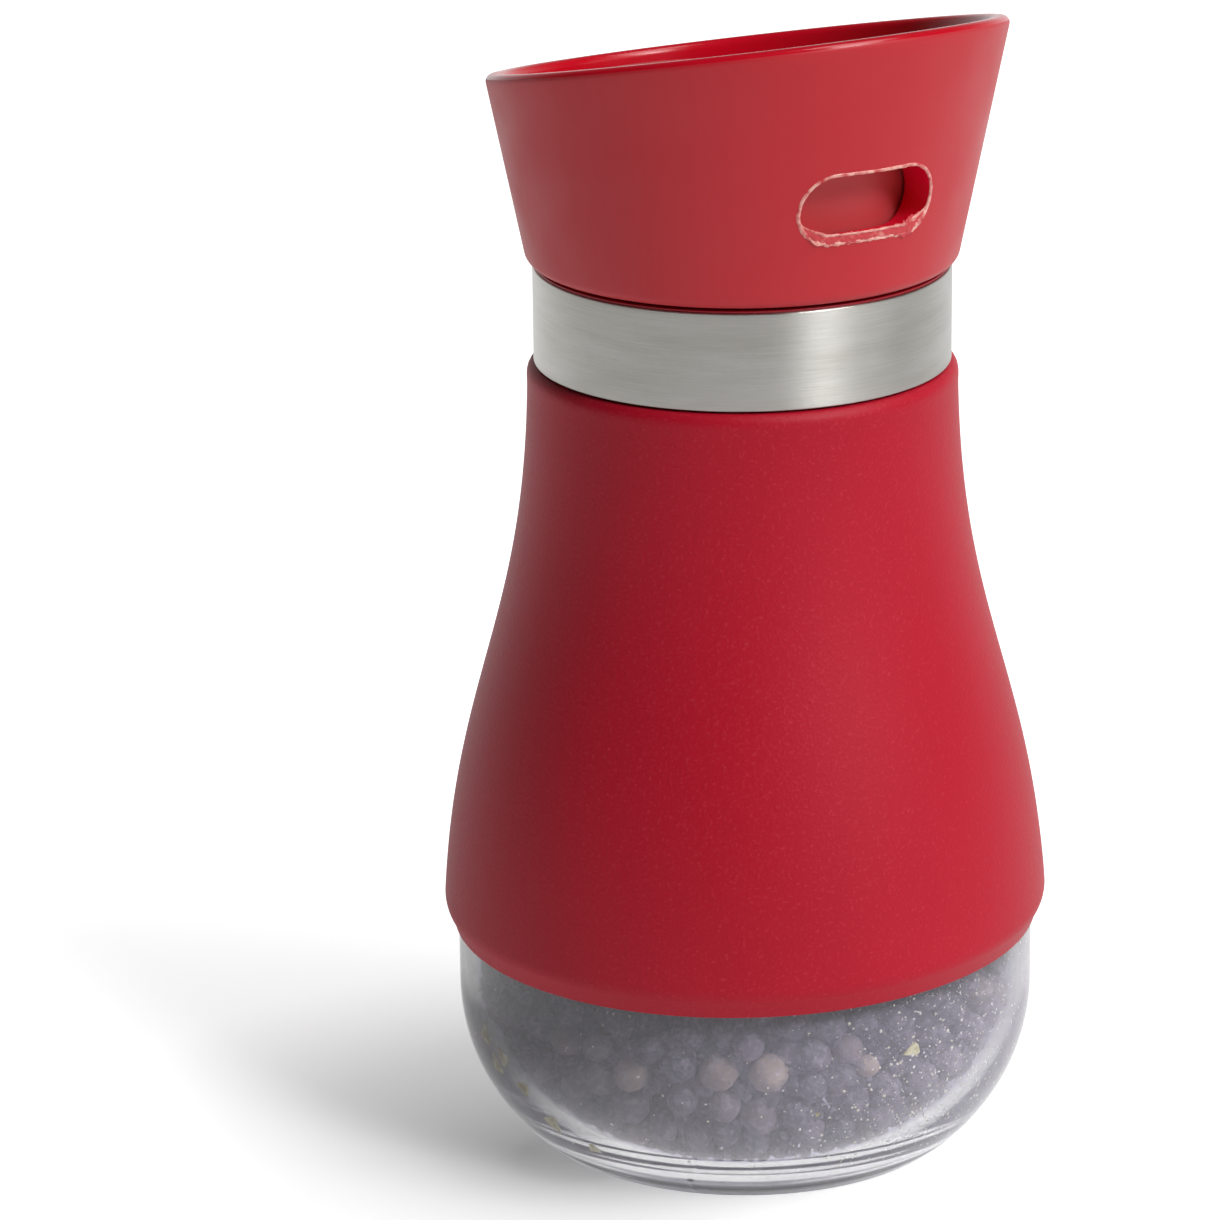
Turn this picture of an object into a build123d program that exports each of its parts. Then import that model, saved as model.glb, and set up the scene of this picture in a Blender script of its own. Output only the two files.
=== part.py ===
"""Glass spice shaker with a soft sleeve and a turning cap, in millimetres.

The origin is the centre of the jar's foot and +Z is up. The cap's window and the high side of
its slanted rim face -Y, where the cup inside has its blank wall, so the shutter is closed.
"""

import os
from math import cos, radians, sin, sqrt, tan

from build123d import *

# Glass jar
jar_radius = 32.6
jar_wall = 2.0
heel_radius = 22.0
heel_angle = 52.0
heel_edge = 0.8
foot_width = 5.0
push_up = 1.4
floor_height = 3.0
floor_corner = 3.5
inner_heel_radius = 19.0
inner_heel_height = 18.2

# The S-shaped flank that the glass, the sleeve and the fill share
flank_bottom = 25.8
flank_height = 62.6
foot_pull = 27.7
foot_lean = 1.4
waist_pull = 29.3
waist_lean = 0.5

# Neck of the jar
neck_radius = 20.0
neck_wall = 2.7
neck_funnel = 3.6
shoulder_step = 2.15
shoulder_lift = 1.0
shoulder_round = 0.9
lip_round = 0.7

# Peppercorns
fill_gap = 0.3
fill_height = 60.0
fill_crown = 1.5

# Soft sleeve
sleeve_wall = 1.5
sleeve_fit = 0.15
sleeve_edge = 1.2
sleeve_lip = 1.7
sleeve_drop = 0.6
sleeve_taper = 1.2
sleeve_taper_rise = 2.6
sleeve_taper_round = 3.0

# Gasket, threaded collar and steel band
gasket_height = 1.0
gasket_fit = 0.2
thread_room = 1.2
collar_wall = 1.3
collar_deck = 1.5
collar_flange = 0.25
collar_flange_set_back = 0.2
collar_recess = 0.3
throat_step = 0.3
spigot_wall = 1.6
spigot_height = 4.4
snap_bead = 0.35
snap_rise = 2.9
key_width = 2.4
key_height = 1.8
key_depth = 0.8
band_height = 10.8
band_wall = 0.5
band_gap = 0.2
band_edge = 0.15
seat_fit = 0.05

# Dispensing cup and its top plate
cup_wall = 1.4
drum_step = 1.0
cup_lip = 1.0
cup_lip_round = 0.45
plate_thickness = 1.2
plate_ledge = 0.8
plate_fit = 0.1
plate_dish = 0.4
plate_border = 2.2

# Turning cap
cap_overhang = 0.65
cap_wall = 2.0
cap_flare = 11.5
cap_height = 23.55
rim_tilt = 11.8
rim_round = 0.8
cap_edge = 1.3
flange_height = 1.5
flange_gap = 0.6
running_gap = 0.3

# Window of the cap and the duct behind it
window_width = 16.2
window_height = 7.4
window_rise = 10.9
window_edge = 0.3
duct_wall = 1.0

# Holes of the cup, one group at each click stop but the closed one
pour_width = 13.0
pour_height = 5.2
coarse_hole = 1.6
coarse_pitch = 4.0
coarse_row = (-1.5, -0.5, 0.5, 1.5)
fine_hole = 0.8
fine_pitch = 2.6
fine_row_rise = 2.25
fine_rows = {-1: (-2, -1, 0, 1, 2), 0: (-1.5, -0.5, 0.5, 1.5), 1: (-2, -1, 0, 1, 2)}

# How far a cutting solid runs past what it cuts
overshoot = 1.0

# Click stops between the cup's skirt and the cap's flange
stop_count = 4
stop_radius = 1.4
stop_depth = 0.35
stop_clearance = 0.12

# Heights that follow
heel_top = heel_radius * sin(radians(heel_angle))
flank_top = flank_bottom + flank_height
sleeve_top = flank_top + sleeve_lip
shoulder_top = flank_top + shoulder_lift
band_bottom = sleeve_top + band_gap
band_top = band_bottom + band_height
deck_top = band_top + collar_flange
deck_bottom = deck_top - collar_deck
neck_top = deck_bottom - gasket_height
spigot_top = deck_top + spigot_height
flange_bottom = deck_top + running_gap
flange_top = flange_bottom + flange_height
cup_shoulder = flange_top + running_gap
window_z = flange_bottom + window_rise
duct_bottom = window_z - window_height / 2 - duct_wall
duct_top = window_z + window_height / 2 + duct_wall
lip_bottom = duct_top + running_gap
cup_top = lip_bottom + cup_lip
plate_seat = cup_top - plate_thickness

# Radii that follow
waist_radius = neck_radius + shoulder_step
bore_radius = neck_radius - neck_wall
throat_radius = bore_radius - throat_step
collar_bore = neck_radius + thread_room
collar_radius = collar_bore + collar_wall
band_radius = collar_radius + seat_fit + band_wall
spigot_radius = throat_radius + spigot_wall
skirt_bore = spigot_radius + seat_fit
skirt_radius = skirt_bore + cup_wall
drum_radius = skirt_radius + drum_step
drum_bore = drum_radius - cup_wall
cap_radius = band_radius + cap_overhang
flange_bore = skirt_radius + flange_gap


def section(*lines):
    """A flat face in the radius-height plane from lines that close on each other."""
    return make_face([edge for line in lines for edge in line.edges()])


def rounded(face, corner, radius):
    """The face with its corner nearest a point rounded."""
    nearest = face.vertices().sort_by_distance((*corner, 0))[0]
    return fillet(nearest, radius)


def turned(face):
    """A solid turned about Z from a face in the radius-height plane."""
    return revolve(Plane.XZ * face, Axis.Z)


def flank(inset):
    """The S-shaped flank as one curve, moved inwards from the outside of the glass."""
    foot = jar_radius - inset
    waist = waist_radius - inset
    return Bezier(
        (foot, flank_bottom),
        (foot - foot_lean, flank_bottom + foot_pull),
        (waist + waist_lean, flank_top - waist_pull),
        (waist, flank_top),
    )


def cone_radius(z, inset=0.0):
    """Radius of the cap's flared outside at a height, less an inset."""
    return cap_radius + (z - flange_bottom) * tan(radians(cap_flare)) - inset


def round_the_axis(solid, count):
    """Copies of a solid, evenly spaced round Z."""
    return [Rot(0, 0, 360 * i / count) * solid for i in range(count)]


def hollow(inset, top, *closing):
    """Section of the jar's inside up to the flank's top, moved inwards by an inset."""
    wall = jar_radius - jar_wall - inset
    floor = floor_height + inset
    heel = inner_heel_radius - inset
    drop = inner_heel_height - floor
    floor_edge = wall - heel + sqrt(heel**2 - drop**2)
    face = section(
        Line((0, top), (0, floor)),
        Line((0, floor), (floor_edge, floor)),
        RadiusArc((floor_edge, floor), (wall, inner_heel_height), -heel),
        Line((wall, inner_heel_height), (wall, flank_bottom)),
        flank(jar_wall + inset),
        *closing,
    )
    return rounded(face, (floor_edge, floor), floor_corner - inset)


def glass_jar():
    """Heavy-bottomed jar with a pushed-up foot, a waisted flank and a narrow neck."""
    heel_centre = jar_radius - heel_radius
    foot_edge = heel_centre + heel_radius * cos(radians(heel_angle))
    foot_inner = foot_edge - foot_width
    outside = section(
        ThreePointArc((-foot_inner, 0), (0, push_up), (foot_inner, 0)).trim(0.5, 1),
        Line((foot_inner, 0), (foot_edge, 0)),
        RadiusArc((foot_edge, 0), (jar_radius, heel_top), -heel_radius),
        Line((jar_radius, heel_top), (jar_radius, flank_bottom)),
        flank(0),
        Polyline(
            (waist_radius, flank_top),
            (waist_radius, shoulder_top),
            (neck_radius, shoulder_top),
            (neck_radius, neck_top),
            (0, neck_top),
            (0, push_up),
        ),
    )
    outside = rounded(outside, (foot_edge, 0), heel_edge)
    outside = rounded(outside, (waist_radius, shoulder_top), shoulder_round)
    inner_waist = waist_radius - jar_wall
    funnel_top = flank_top + neck_funnel
    inside = hollow(
        0,
        neck_top + overshoot,
        Bezier(
            (inner_waist, flank_top),
            (inner_waist, flank_top + neck_funnel / 2),
            (bore_radius, flank_top + neck_funnel / 2),
            (bore_radius, funnel_top),
        ),
        Polyline(
            (bore_radius, funnel_top),
            (bore_radius, neck_top + overshoot),
            (0, neck_top + overshoot),
        ),
    )
    jar = turned(outside) - turned(inside)
    lip = jar.edges().filter_by(GeomType.CIRCLE).group_by(Axis.Z)[-1]
    return fillet(lip, lip_round)


def peppercorns():
    """The fill as one closed solid with a low crown, a small gap inside the glass."""
    inner_waist = waist_radius - jar_wall - fill_gap
    fill = turned(hollow(fill_gap, flank_top, Line((inner_waist, flank_top), (0, flank_top))))
    crown = fill_height + fill_crown
    above = section(
        ThreePointArc((-jar_radius, fill_height), (0, crown), (jar_radius, fill_height)).trim(0.5, 1),
        Polyline(
            (jar_radius, fill_height),
            (jar_radius, flank_top + overshoot),
            (0, flank_top + overshoot),
            (0, crown),
        ),
    )
    return fill - turned(above)


def body_sleeve():
    """Soft sleeve that follows the flank, with a tapered foot and a rounded lip."""
    inner_foot = jar_radius + sleeve_fit
    outer_foot = inner_foot + sleeve_wall
    inner_lip = waist_radius + sleeve_fit
    outer_lip = inner_lip + sleeve_wall
    foot = flank_bottom - sleeve_drop
    wall = section(
        flank(-sleeve_fit),
        Polyline(
            (inner_lip, flank_top),
            (inner_lip, sleeve_top),
            (outer_lip, sleeve_top),
            (outer_lip, flank_top),
        ),
        flank(-sleeve_fit - sleeve_wall),
        Polyline(
            (outer_foot, flank_bottom),
            (outer_foot, foot),
            (inner_foot, foot),
            (inner_foot, flank_bottom),
        ),
    )
    slope = sleeve_taper_rise / sleeve_taper
    outside = outer_foot + overshoot
    taper = section(
        Polyline(
            (outer_foot - sleeve_taper - overshoot / slope, foot - overshoot),
            (outside, foot - overshoot),
            (outside, foot + sleeve_taper_rise + overshoot * slope),
            (outer_foot - sleeve_taper - overshoot / slope, foot - overshoot),
        )
    )
    wall = rounded(wall - taper, (outer_foot, foot + sleeve_taper_rise), sleeve_taper_round)
    wall = rounded(wall, (outer_lip, sleeve_top), sleeve_edge)
    return turned(wall)


def ring(inner, outer, low, high):
    """A flat-sided section between two radii and two heights."""
    return section(
        Polyline((inner, low), (outer, low), (outer, high), (inner, high), (inner, low))
    )


def mouth_gasket():
    """Silicone washer that lies on the glass lip under the collar's deck."""
    return turned(ring(throat_radius, collar_bore - gasket_fit, neck_top, deck_bottom))


def threaded_collar():
    """Collar whose skirt takes the neck, with a deck and a spigot that carries the cup."""
    flange_radius = band_radius - collar_flange_set_back
    body = section(
        Polyline(
            (collar_bore, band_bottom + collar_recess),
            (collar_radius, band_bottom + collar_recess),
            (collar_radius, band_top),
            (flange_radius, band_top),
            (flange_radius, deck_top),
            (spigot_radius, deck_top),
            (spigot_radius, spigot_top),
            (throat_radius, spigot_top),
            (throat_radius, deck_bottom),
            (collar_bore, deck_bottom),
            (collar_bore, band_bottom + collar_recess),
        )
    )
    body = rounded(body, (spigot_radius, spigot_top), spigot_wall / 2)
    bead = Pos(spigot_radius, deck_top + snap_rise) * Circle(snap_bead)
    return turned(body) + turned(bead) + keys(0)


def keys(clearance):
    """Two keys on the spigot that stop the cup from turning, or their notches with clearance."""
    key = Pos(spigot_radius, 0, deck_top) * Box(
        2 * (key_depth + clearance),
        key_width + 2 * clearance,
        key_height + clearance,
        align=(Align.CENTER, Align.CENTER, Align.MIN),
    )
    return [Rot(0, 0, 45) * key, Rot(0, 0, 225) * key]


def steel_band():
    """Brushed ring round the collar, held under the collar's flange."""
    band = ring(collar_radius + seat_fit, band_radius, band_bottom, band_top)
    band = rounded(band, (band_radius, band_bottom), band_edge)
    band = rounded(band, (band_radius, band_top), band_edge)
    return turned(band)


def slot_cutter(width, height):
    """A full-round slot cut straight out along -Y at the window's height."""
    face = Plane.XZ * SlotOverall(width, height)
    return Pos(0, 0, window_z) * extrude(face, 2 * cap_radius)


def hole_row(radius, pitch, places, rise):
    """Round holes through the drum towards -Y, spaced along its wall."""
    step = pitch / radians(1) / drum_radius
    drill = Pos(0, 0, window_z + rise) * Rot(90, 0, 0) * Cylinder(
        radius, 2 * cap_radius, align=(Align.CENTER, Align.CENTER, Align.MIN)
    )
    return [Rot(0, 0, place * step) * drill for place in places]


def cup_section():
    """Section of the cup: skirt, shoulder, drum, a lip over the cap's duct and the plate's seat."""
    close = cap_wall + running_gap
    sill = spigot_top + seat_fit
    body = section(
        Polyline(
            (skirt_bore, deck_top),
            (skirt_radius, deck_top),
            (skirt_radius, cup_shoulder),
            (drum_radius, cup_shoulder),
            (drum_radius, lip_bottom),
            (cone_radius(lip_bottom, close), lip_bottom),
            (cone_radius(cup_top, close), cup_top),
            (drum_bore + plate_ledge, cup_top),
            (drum_bore + plate_ledge, plate_seat),
            (drum_bore, plate_seat),
            (drum_bore, sill + cup_wall),
            (skirt_bore, sill),
            (skirt_bore, deck_top),
        )
    )
    return rounded(body, (cone_radius(cup_top, close), cup_top), cup_lip_round)


def dispensing_cup():
    """Fixed drum with a blank wall and three groups of holes at quarter turns."""
    cup = turned(cup_section())
    groove = Pos(skirt_bore, deck_top + snap_rise) * Circle(snap_bead + seat_fit)
    stop_height = cup_shoulder - deck_top
    stop = Pos(0, -(skirt_radius + stop_radius - stop_depth), deck_top) * Cylinder(
        stop_radius, stop_height, align=(Align.CENTER, Align.CENTER, Align.MIN)
    )
    fine = [
        drill
        for row, places in fine_rows.items()
        for drill in hole_row(fine_hole, fine_pitch, places, row * fine_row_rise)
    ]
    coarse = hole_row(coarse_hole, coarse_pitch, coarse_row, 0)
    cup -= turned(groove)
    cup -= keys(seat_fit)
    cup -= round_the_axis(stop, stop_count)
    cup -= [Rot(0, 0, 90) * drill for drill in fine]
    cup -= [Rot(0, 0, 180) * drill for drill in coarse]
    cup -= Rot(0, 0, 270) * slot_cutter(pour_width, pour_height)
    return cup


def cup_top_plate():
    """Round plate with a shallow dish, seated in the cup's lip."""
    radius = drum_bore + plate_ledge - plate_fit
    dish = radius - plate_border
    face = section(
        Polyline(
            (0, plate_seat),
            (radius, plate_seat),
            (radius, cup_top),
            (dish, cup_top),
            (dish - plate_dish, cup_top - plate_dish),
            (0, cup_top - plate_dish),
            (0, plate_seat),
        )
    )
    return turned(face)


def window_duct():
    """Block behind the window that reaches in to the drum, before the window is cut through it."""
    middle = cap_wall / 2
    low = duct_bottom - overshoot
    high = duct_top + overshoot
    face = drum_radius + running_gap
    around = section(
        Polyline(
            (face, low),
            (cone_radius(low, middle), low),
            (cone_radius(high, middle), high),
            (face, high),
            (face, low),
        )
    )
    block = slot_cutter(window_width + 2 * duct_wall, window_height + 2 * duct_wall)
    return block & turned(around)


def outer_cap():
    """Flared cap with a slanted open rim, a ducted window under its high side and a flange."""
    high = flange_bottom + cap_height + cone_radius(flange_bottom + 2 * cap_height)
    shell = section(
        Polyline(
            (flange_bore, flange_bottom),
            (cap_radius, flange_bottom),
            (cone_radius(high), high),
            (cone_radius(high, cap_wall), high),
            (cone_radius(flange_top, cap_wall), flange_top),
            (flange_bore, flange_top),
            (flange_bore, flange_bottom),
        )
    )
    shell = rounded(shell, (cap_radius, flange_bottom), cap_edge)
    cap = turned(shell)
    tilt = radians(rim_tilt)
    slant = Plane((0, 0, flange_bottom + cap_height), z_dir=(0, sin(tilt), cos(tilt)))
    cap = split(cap, slant, keep=Keep.BOTTOM)
    rim = cap.faces().filter_by(slant)[0]
    cap = fillet(rim.edges(), rim_round)
    cap += window_duct()
    cap -= slot_cutter(window_width, window_height)
    front = cap.faces().filter_by(GeomType.CONE).sort_by(SortBy.AREA)[-1]
    cap = fillet(front.inner_wires()[0].edges(), window_edge)
    return cap + click_bumps()


def click_bumps():
    """Two bumps on the flange's bore that face the click grooves with a running clearance."""
    tip = skirt_radius + stop_clearance
    bump = Pos(0, -(tip + stop_radius), flange_bottom) * Cylinder(
        stop_radius, flange_height, align=(Align.CENTER, Align.CENTER, Align.MIN)
    )
    bump &= Pos(0, 0, flange_bottom) * Cylinder(
        flange_bore + flange_gap, flange_height, align=(Align.CENTER, Align.CENTER, Align.MIN)
    )
    return [bump, Rot(0, 0, 180) * bump]


def main():
    os.makedirs("parts", exist_ok=True)
    nodes = (
        glass_jar,
        peppercorns,
        body_sleeve,
        mouth_gasket,
        threaded_collar,
        steel_band,
        dispensing_cup,
        cup_top_plate,
        outer_cap,
    )
    for node in nodes:
        export_step(node(), f"parts/{node.__name__}.step")


main()
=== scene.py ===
import math
import random

import bmesh
import bpy
import numpy as np
from mathutils import Matrix, Vector, kdtree, noise


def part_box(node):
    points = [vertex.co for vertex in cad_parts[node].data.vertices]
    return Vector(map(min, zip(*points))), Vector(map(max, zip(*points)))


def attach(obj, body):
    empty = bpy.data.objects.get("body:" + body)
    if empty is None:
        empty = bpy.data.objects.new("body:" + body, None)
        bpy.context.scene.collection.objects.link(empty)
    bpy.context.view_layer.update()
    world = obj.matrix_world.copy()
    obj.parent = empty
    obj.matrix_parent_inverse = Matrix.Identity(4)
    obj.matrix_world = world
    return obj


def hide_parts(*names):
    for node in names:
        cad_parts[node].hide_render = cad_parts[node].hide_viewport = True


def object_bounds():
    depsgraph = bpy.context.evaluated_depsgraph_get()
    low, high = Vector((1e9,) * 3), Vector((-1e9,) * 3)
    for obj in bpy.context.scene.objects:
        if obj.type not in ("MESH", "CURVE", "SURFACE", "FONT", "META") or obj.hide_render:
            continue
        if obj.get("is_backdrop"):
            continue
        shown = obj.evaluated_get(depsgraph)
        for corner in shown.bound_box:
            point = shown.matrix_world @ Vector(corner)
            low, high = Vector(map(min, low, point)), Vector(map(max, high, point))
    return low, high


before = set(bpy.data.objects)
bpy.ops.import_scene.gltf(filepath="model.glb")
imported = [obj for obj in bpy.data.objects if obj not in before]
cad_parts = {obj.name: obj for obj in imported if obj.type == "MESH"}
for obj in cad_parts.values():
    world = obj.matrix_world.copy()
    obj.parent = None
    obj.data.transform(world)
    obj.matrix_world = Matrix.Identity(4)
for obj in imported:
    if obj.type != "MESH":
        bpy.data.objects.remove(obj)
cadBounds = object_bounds()
mm = 0.001  # outlines are written in millimetres and built in metres
nearAxis = 0.02  # closed outlines stay this far from the axis, an arc as many degrees
fullTurn = 6.28  # range of a random spin in radians
white = (1, 1, 1, 1)


def reach(node):
    # outer radius, lowest and highest point of a piece of the frame
    low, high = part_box(node)
    return high.x / mm, low.z / mm, high.z / mm


sleeveBottom, sleeveTop = reach("body_sleeve")[1:]
bandRadius, bandBottom, bandTop = reach("steel_band")
capBottom, capHighest = reach("outer_cap")[1:]
plateRadius, plateBottom, plateTop = reach("cup_top_plate")
gasketRadius, gasketBottom, gasketTop = reach("mouth_gasket")
fillTop = reach("peppercorns")[2]
neckTop = gasketBottom  # the gasket lies on the glass lip
print("frame loaded: cap from", round(capBottom, 2), "to", round(capHighest, 2), "mm")


# outlines are lists of (radius, height)
def arc(centre, radius, start, end, steps):
    angles = np.radians(np.linspace(start, end, steps + 1))
    return [(centre[0] + radius * math.cos(a), centre[1] + radius * math.sin(a)) for a in angles]


def curve(a, b, c, d, steps=60):
    points = []
    for t in np.linspace(0, 1, steps + 1):
        s = 1 - t
        weights = (s**3, 3 * s * s * t, 3 * s * t * t, t**3)
        points.append(tuple(sum(w * p[k] for w, p in zip(weights, (a, b, c, d))) for k in (0, 1)))
    return points


def inSteps(a, b, steps):
    return [tuple(p + (q - p) * k / steps for p, q in zip(a, b)) for k in range(steps + 1)]


def straight(a, b, spacing):
    return inSteps(a, b, max(1, round(math.dist(a, b) / spacing)))


def denser(points, spacing):
    # splits the long steps of a closed outline
    full = []
    for a, b in zip(points, points[1:] + points[:1]):
        full += straight(a, b, spacing)[:-1]
    return full


def softened(before, point, after, radius, steps=5):
    # a corner turned into a small arc
    p, a, b = (Vector(v) for v in (point, before, after))
    u, v = (a - p).normalized(), (b - p).normalized()
    half = u.angle(v) / 2
    back = radius / math.tan(half)
    centre = p + (u + v).normalized() * radius / math.sin(half)
    start, end = p + u * back - centre, p + v * back - centre
    turn = start.angle_signed(end)
    return [tuple(centre + Matrix.Rotation(-turn * k / steps, 2) @ start) for k in range(steps + 1)]


def outline(*stations):
    # each station is (radius, height) or (radius, height, rounding)
    points = []
    for k, station in enumerate(stations):
        if len(station) == 2:
            points.append(tuple(station))
            continue
        before, after = stations[k - 1][:2], stations[(k + 1) % len(stations)][:2]
        points += softened(before, station[:2], after, station[2])
    return points


def turned(points, around=256, angles=None, shape=None):
    # points and faces of a closed outline turned about Z; shape moves them first
    angles = np.linspace(0, 2 * math.pi, around, endpoint=False) if angles is None else angles
    radius, height = np.array(points).T
    turn, r = np.meshgrid(angles, radius)
    z = np.meshgrid(angles, height)[1]
    if shape:
        r, z = shape(turn, r, z)
    verts = np.stack([r * np.cos(turn), r * np.sin(turn), z], axis=-1).reshape(-1, 3) * mm
    rows, columns = len(points), len(angles)
    faces = []
    for i in range(rows):
        j = (i + 1) % rows
        for k in range(columns):
            m = (k + 1) % columns
            faces.append((i * columns + k, i * columns + m, j * columns + m, j * columns + k))
    return verts, faces


def addObject(name, data):
    thing = bpy.data.objects.new(name, data)
    bpy.context.collection.objects.link(thing)
    return thing


def addPiece(name, points, faces, body, material, slot, nodes=(), sharp=40):
    weld = 1e-7  # metres
    mesh = bpy.data.meshes.new(name)
    mesh.from_pydata([tuple(p) for p in points], [], faces)
    mesh.update()
    piece = addObject(name, mesh)
    tidy = bmesh.new()
    tidy.from_mesh(mesh)
    bmesh.ops.remove_doubles(tidy, verts=tidy.verts, dist=weld)
    bmesh.ops.recalc_face_normals(tidy, faces=tidy.faces)
    tidy.to_mesh(mesh)
    tidy.free()
    mesh.shade_smooth()
    mesh.set_sharp_from_angle(angle=math.radians(sharp))
    mesh.materials.append(material)
    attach(piece, body)
    if nodes:
        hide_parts(*nodes)
    return piece


def turnPiece(name, stations, body, material, slot, sharp, **form):
    # a piece turned from its stations, which takes the place of the node of its name
    verts, faces = turned(outline(*stations), **form)
    return addPiece(name, verts, faces, body, finish[material], slot, [name], sharp)


def smoothStep(value, low, high):
    t = np.clip((value - low) / (high - low), 0, 1)
    return t * t * (3 - 2 * t)


def startMaterial(name, **settings):
    material = bpy.data.materials.new(name)
    material.use_nodes = True
    shader = material.node_tree.nodes["Principled BSDF"]
    for socket, value in settings.items():
        shader.inputs[socket.replace("_", " ")].default_value = value
    return material, material.node_tree, shader


def addNode(tree, kind, inputs=None, **properties):
    node = tree.nodes.new("ShaderNode" + kind)
    for key, value in properties.items():
        setattr(node, key, value)
    for socket, value in (inputs or {}).items():
        if isinstance(value, bpy.types.NodeSocket):
            tree.links.new(value, node.inputs[socket])
        else:
            node.inputs[socket].default_value = value
    return node


def calculate(tree, operation, a, b):
    return addNode(tree, "Math", {0: a, 1: b}, operation=operation).outputs[0]


def grain(tree, scale, detail, stretch=(1, 1, 1), roughness=0.5):
    # noise in the piece's own metres
    place = addNode(tree, "TexCoord").outputs["Object"]
    scaled = addNode(tree, "Mapping", {"Vector": place, "Scale": stretch}).outputs[0]
    inputs = {"Vector": scaled, "Scale": scale, "Detail": detail, "Roughness": roughness}
    return addNode(tree, "TexNoise", inputs).outputs["Fac"]


def spread(tree, value, low, high, start=0.3, end=0.7, kind="LINEAR"):
    inputs = {"Value": value, "From Min": start, "From Max": end, "To Min": low, "To Max": high}
    return addNode(tree, "MapRange", inputs, interpolation_type=kind).outputs[0]


def mixColour(tree, factor, a, b):
    a, b = ((*v, 1) if isinstance(v, tuple) else v for v in (a, b))
    return addNode(tree, "Mix", {0: factor, 6: a, 7: b}, data_type="RGBA").outputs[2]


def bump(tree, height, depth, strength, under=None):
    # depth is the height of the relief in metres
    inputs = {"Height": height, "Distance": depth, "Strength": strength}
    if under:
        inputs["Normal"] = under
    return addNode(tree, "Bump", inputs).outputs[0]


def feed(tree, shader, **sockets):
    for socket, value in sockets.items():
        tree.links.new(value, shader.inputs[socket.replace("_", " ")])


def seenBy(tree, ray):
    # 1 where this kind of ray looks, else 0
    return addNode(tree, "LightPath").outputs[ray]


def showEither(tree, factor, a, b):
    # the surface shows a where the factor is 0 and b where it is 1
    both = addNode(tree, "MixShader", {0: factor, 1: a.outputs[0], 2: b.outputs[0]})
    tree.links.new(both.outputs[0], tree.nodes["Material Output"].inputs[0])


cameraSet = {
    "orbit": -32.0,  # degrees round Z from the window's own direction
    "distance": 571.0,
    "height": 246.6,
    "tilt": 18.02,
    "yaw": 1.50,
    "roll": -0.70,
    "lens": 158.05,
    "clipStart": 0.05,  # metres
}


def turnBy(angle, axis):
    return Matrix.Rotation(math.radians(angle), 4, axis)


orbit = turnBy(cameraSet["orbit"], "Z")


def placeCamera():
    c = cameraSet
    data = bpy.data.cameras.new("camera")
    data.lens = c["lens"]
    data.clip_start = c["clipStart"]
    camera = addObject("camera", data)
    stand = Matrix.Translation((0, -c["distance"] * mm, c["height"] * mm))
    look = turnBy(c["yaw"], "Z") @ turnBy(90 - c["tilt"], "X")
    camera.matrix_world = orbit @ stand @ look @ turnBy(c["roll"], "Z")
    bpy.context.scene.camera = camera


# degrees from the camera's side and above the floor; the key is a tall leaning strip of soft suns
lampSet = [
    {"name": "keyLow", "turn": 48.0, "rise": 34.0, "strength": 1.04, "angle": 15.0},
    {"name": "keyMiddle", "turn": 58.0, "rise": 48.0, "strength": 0.86, "angle": 22.0},
    {"name": "keyHigh", "turn": 82.0, "rise": 66.0, "strength": 0.92, "angle": 30.0},
    {"name": "fill", "turn": 60.0, "rise": 14.0, "strength": 0.52, "angle": 55.0},
]


def placeLamps():
    for values in lampSet:
        data = bpy.data.lights.new(values["name"], "SUN")
        data.energy = values["strength"]
        data.angle = math.radians(values["angle"])
        spin = turnBy(cameraSet["orbit"] + values["turn"], "Z")
        addObject(values["name"], data).matrix_world = spin @ turnBy(90 - values["rise"], "X")


skySet = {
    "soft": 0.05,  # what the walls and the ceiling add to the light on the object
    "ceiling": 0.16,  # how bright the ceiling looks in a reflection, against the white backdrop
    "rise": (0.02, 0.55),  # sine of the elevations between which wall turns to ceiling
    "room": 0.06,  # how bright the room looks on the camera's side
    "sweep": (0.0, 0.85),  # cosine of the turns between which room turns to backdrop, in mirrors
    "bent": (0.35, 1.0),  # the same for what glass bends
}


def paintWorld():
    # soft light with white walls and a dim ceiling; what shows behind the object is plain white
    s = skySet
    world = bpy.data.worlds.new("studio")
    bpy.context.scene.world = world
    world.use_nodes = True
    tree = world.node_tree
    tree.nodes.clear()
    direction = addNode(tree, "TexCoord").outputs["Generated"]
    rise = addNode(tree, "SeparateXYZ", {0: direction}).outputs[2]
    wall = spread(tree, rise, 1.0, s["ceiling"], *s["rise"], "SMOOTHSTEP")
    behind = orbit @ Vector((0, 1, 0))
    facing = addNode(tree, "VectorMath", {0: direction, 1: behind}, operation="DOT_PRODUCT")
    level = calculate(tree, "MAXIMUM", seenBy(tree, "Is Camera Ray"), s["soft"])
    for ray, turns in (("Is Glossy Ray", s["sweep"]), ("Is Transmission Ray", s["bent"])):
        sweep = spread(tree, facing.outputs["Value"], s["room"], 1.0, *turns, "SMOOTHSTEP")
        part = calculate(tree, "MULTIPLY", wall, sweep)
        part = calculate(tree, "MULTIPLY", seenBy(tree, ray), part)
        level = calculate(tree, "MAXIMUM", level, part)
    shade = addNode(tree, "Background", {"Color": white, "Strength": level})
    tree.links.new(shade.outputs[0], addNode(tree, "OutputWorld").inputs[0])


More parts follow.
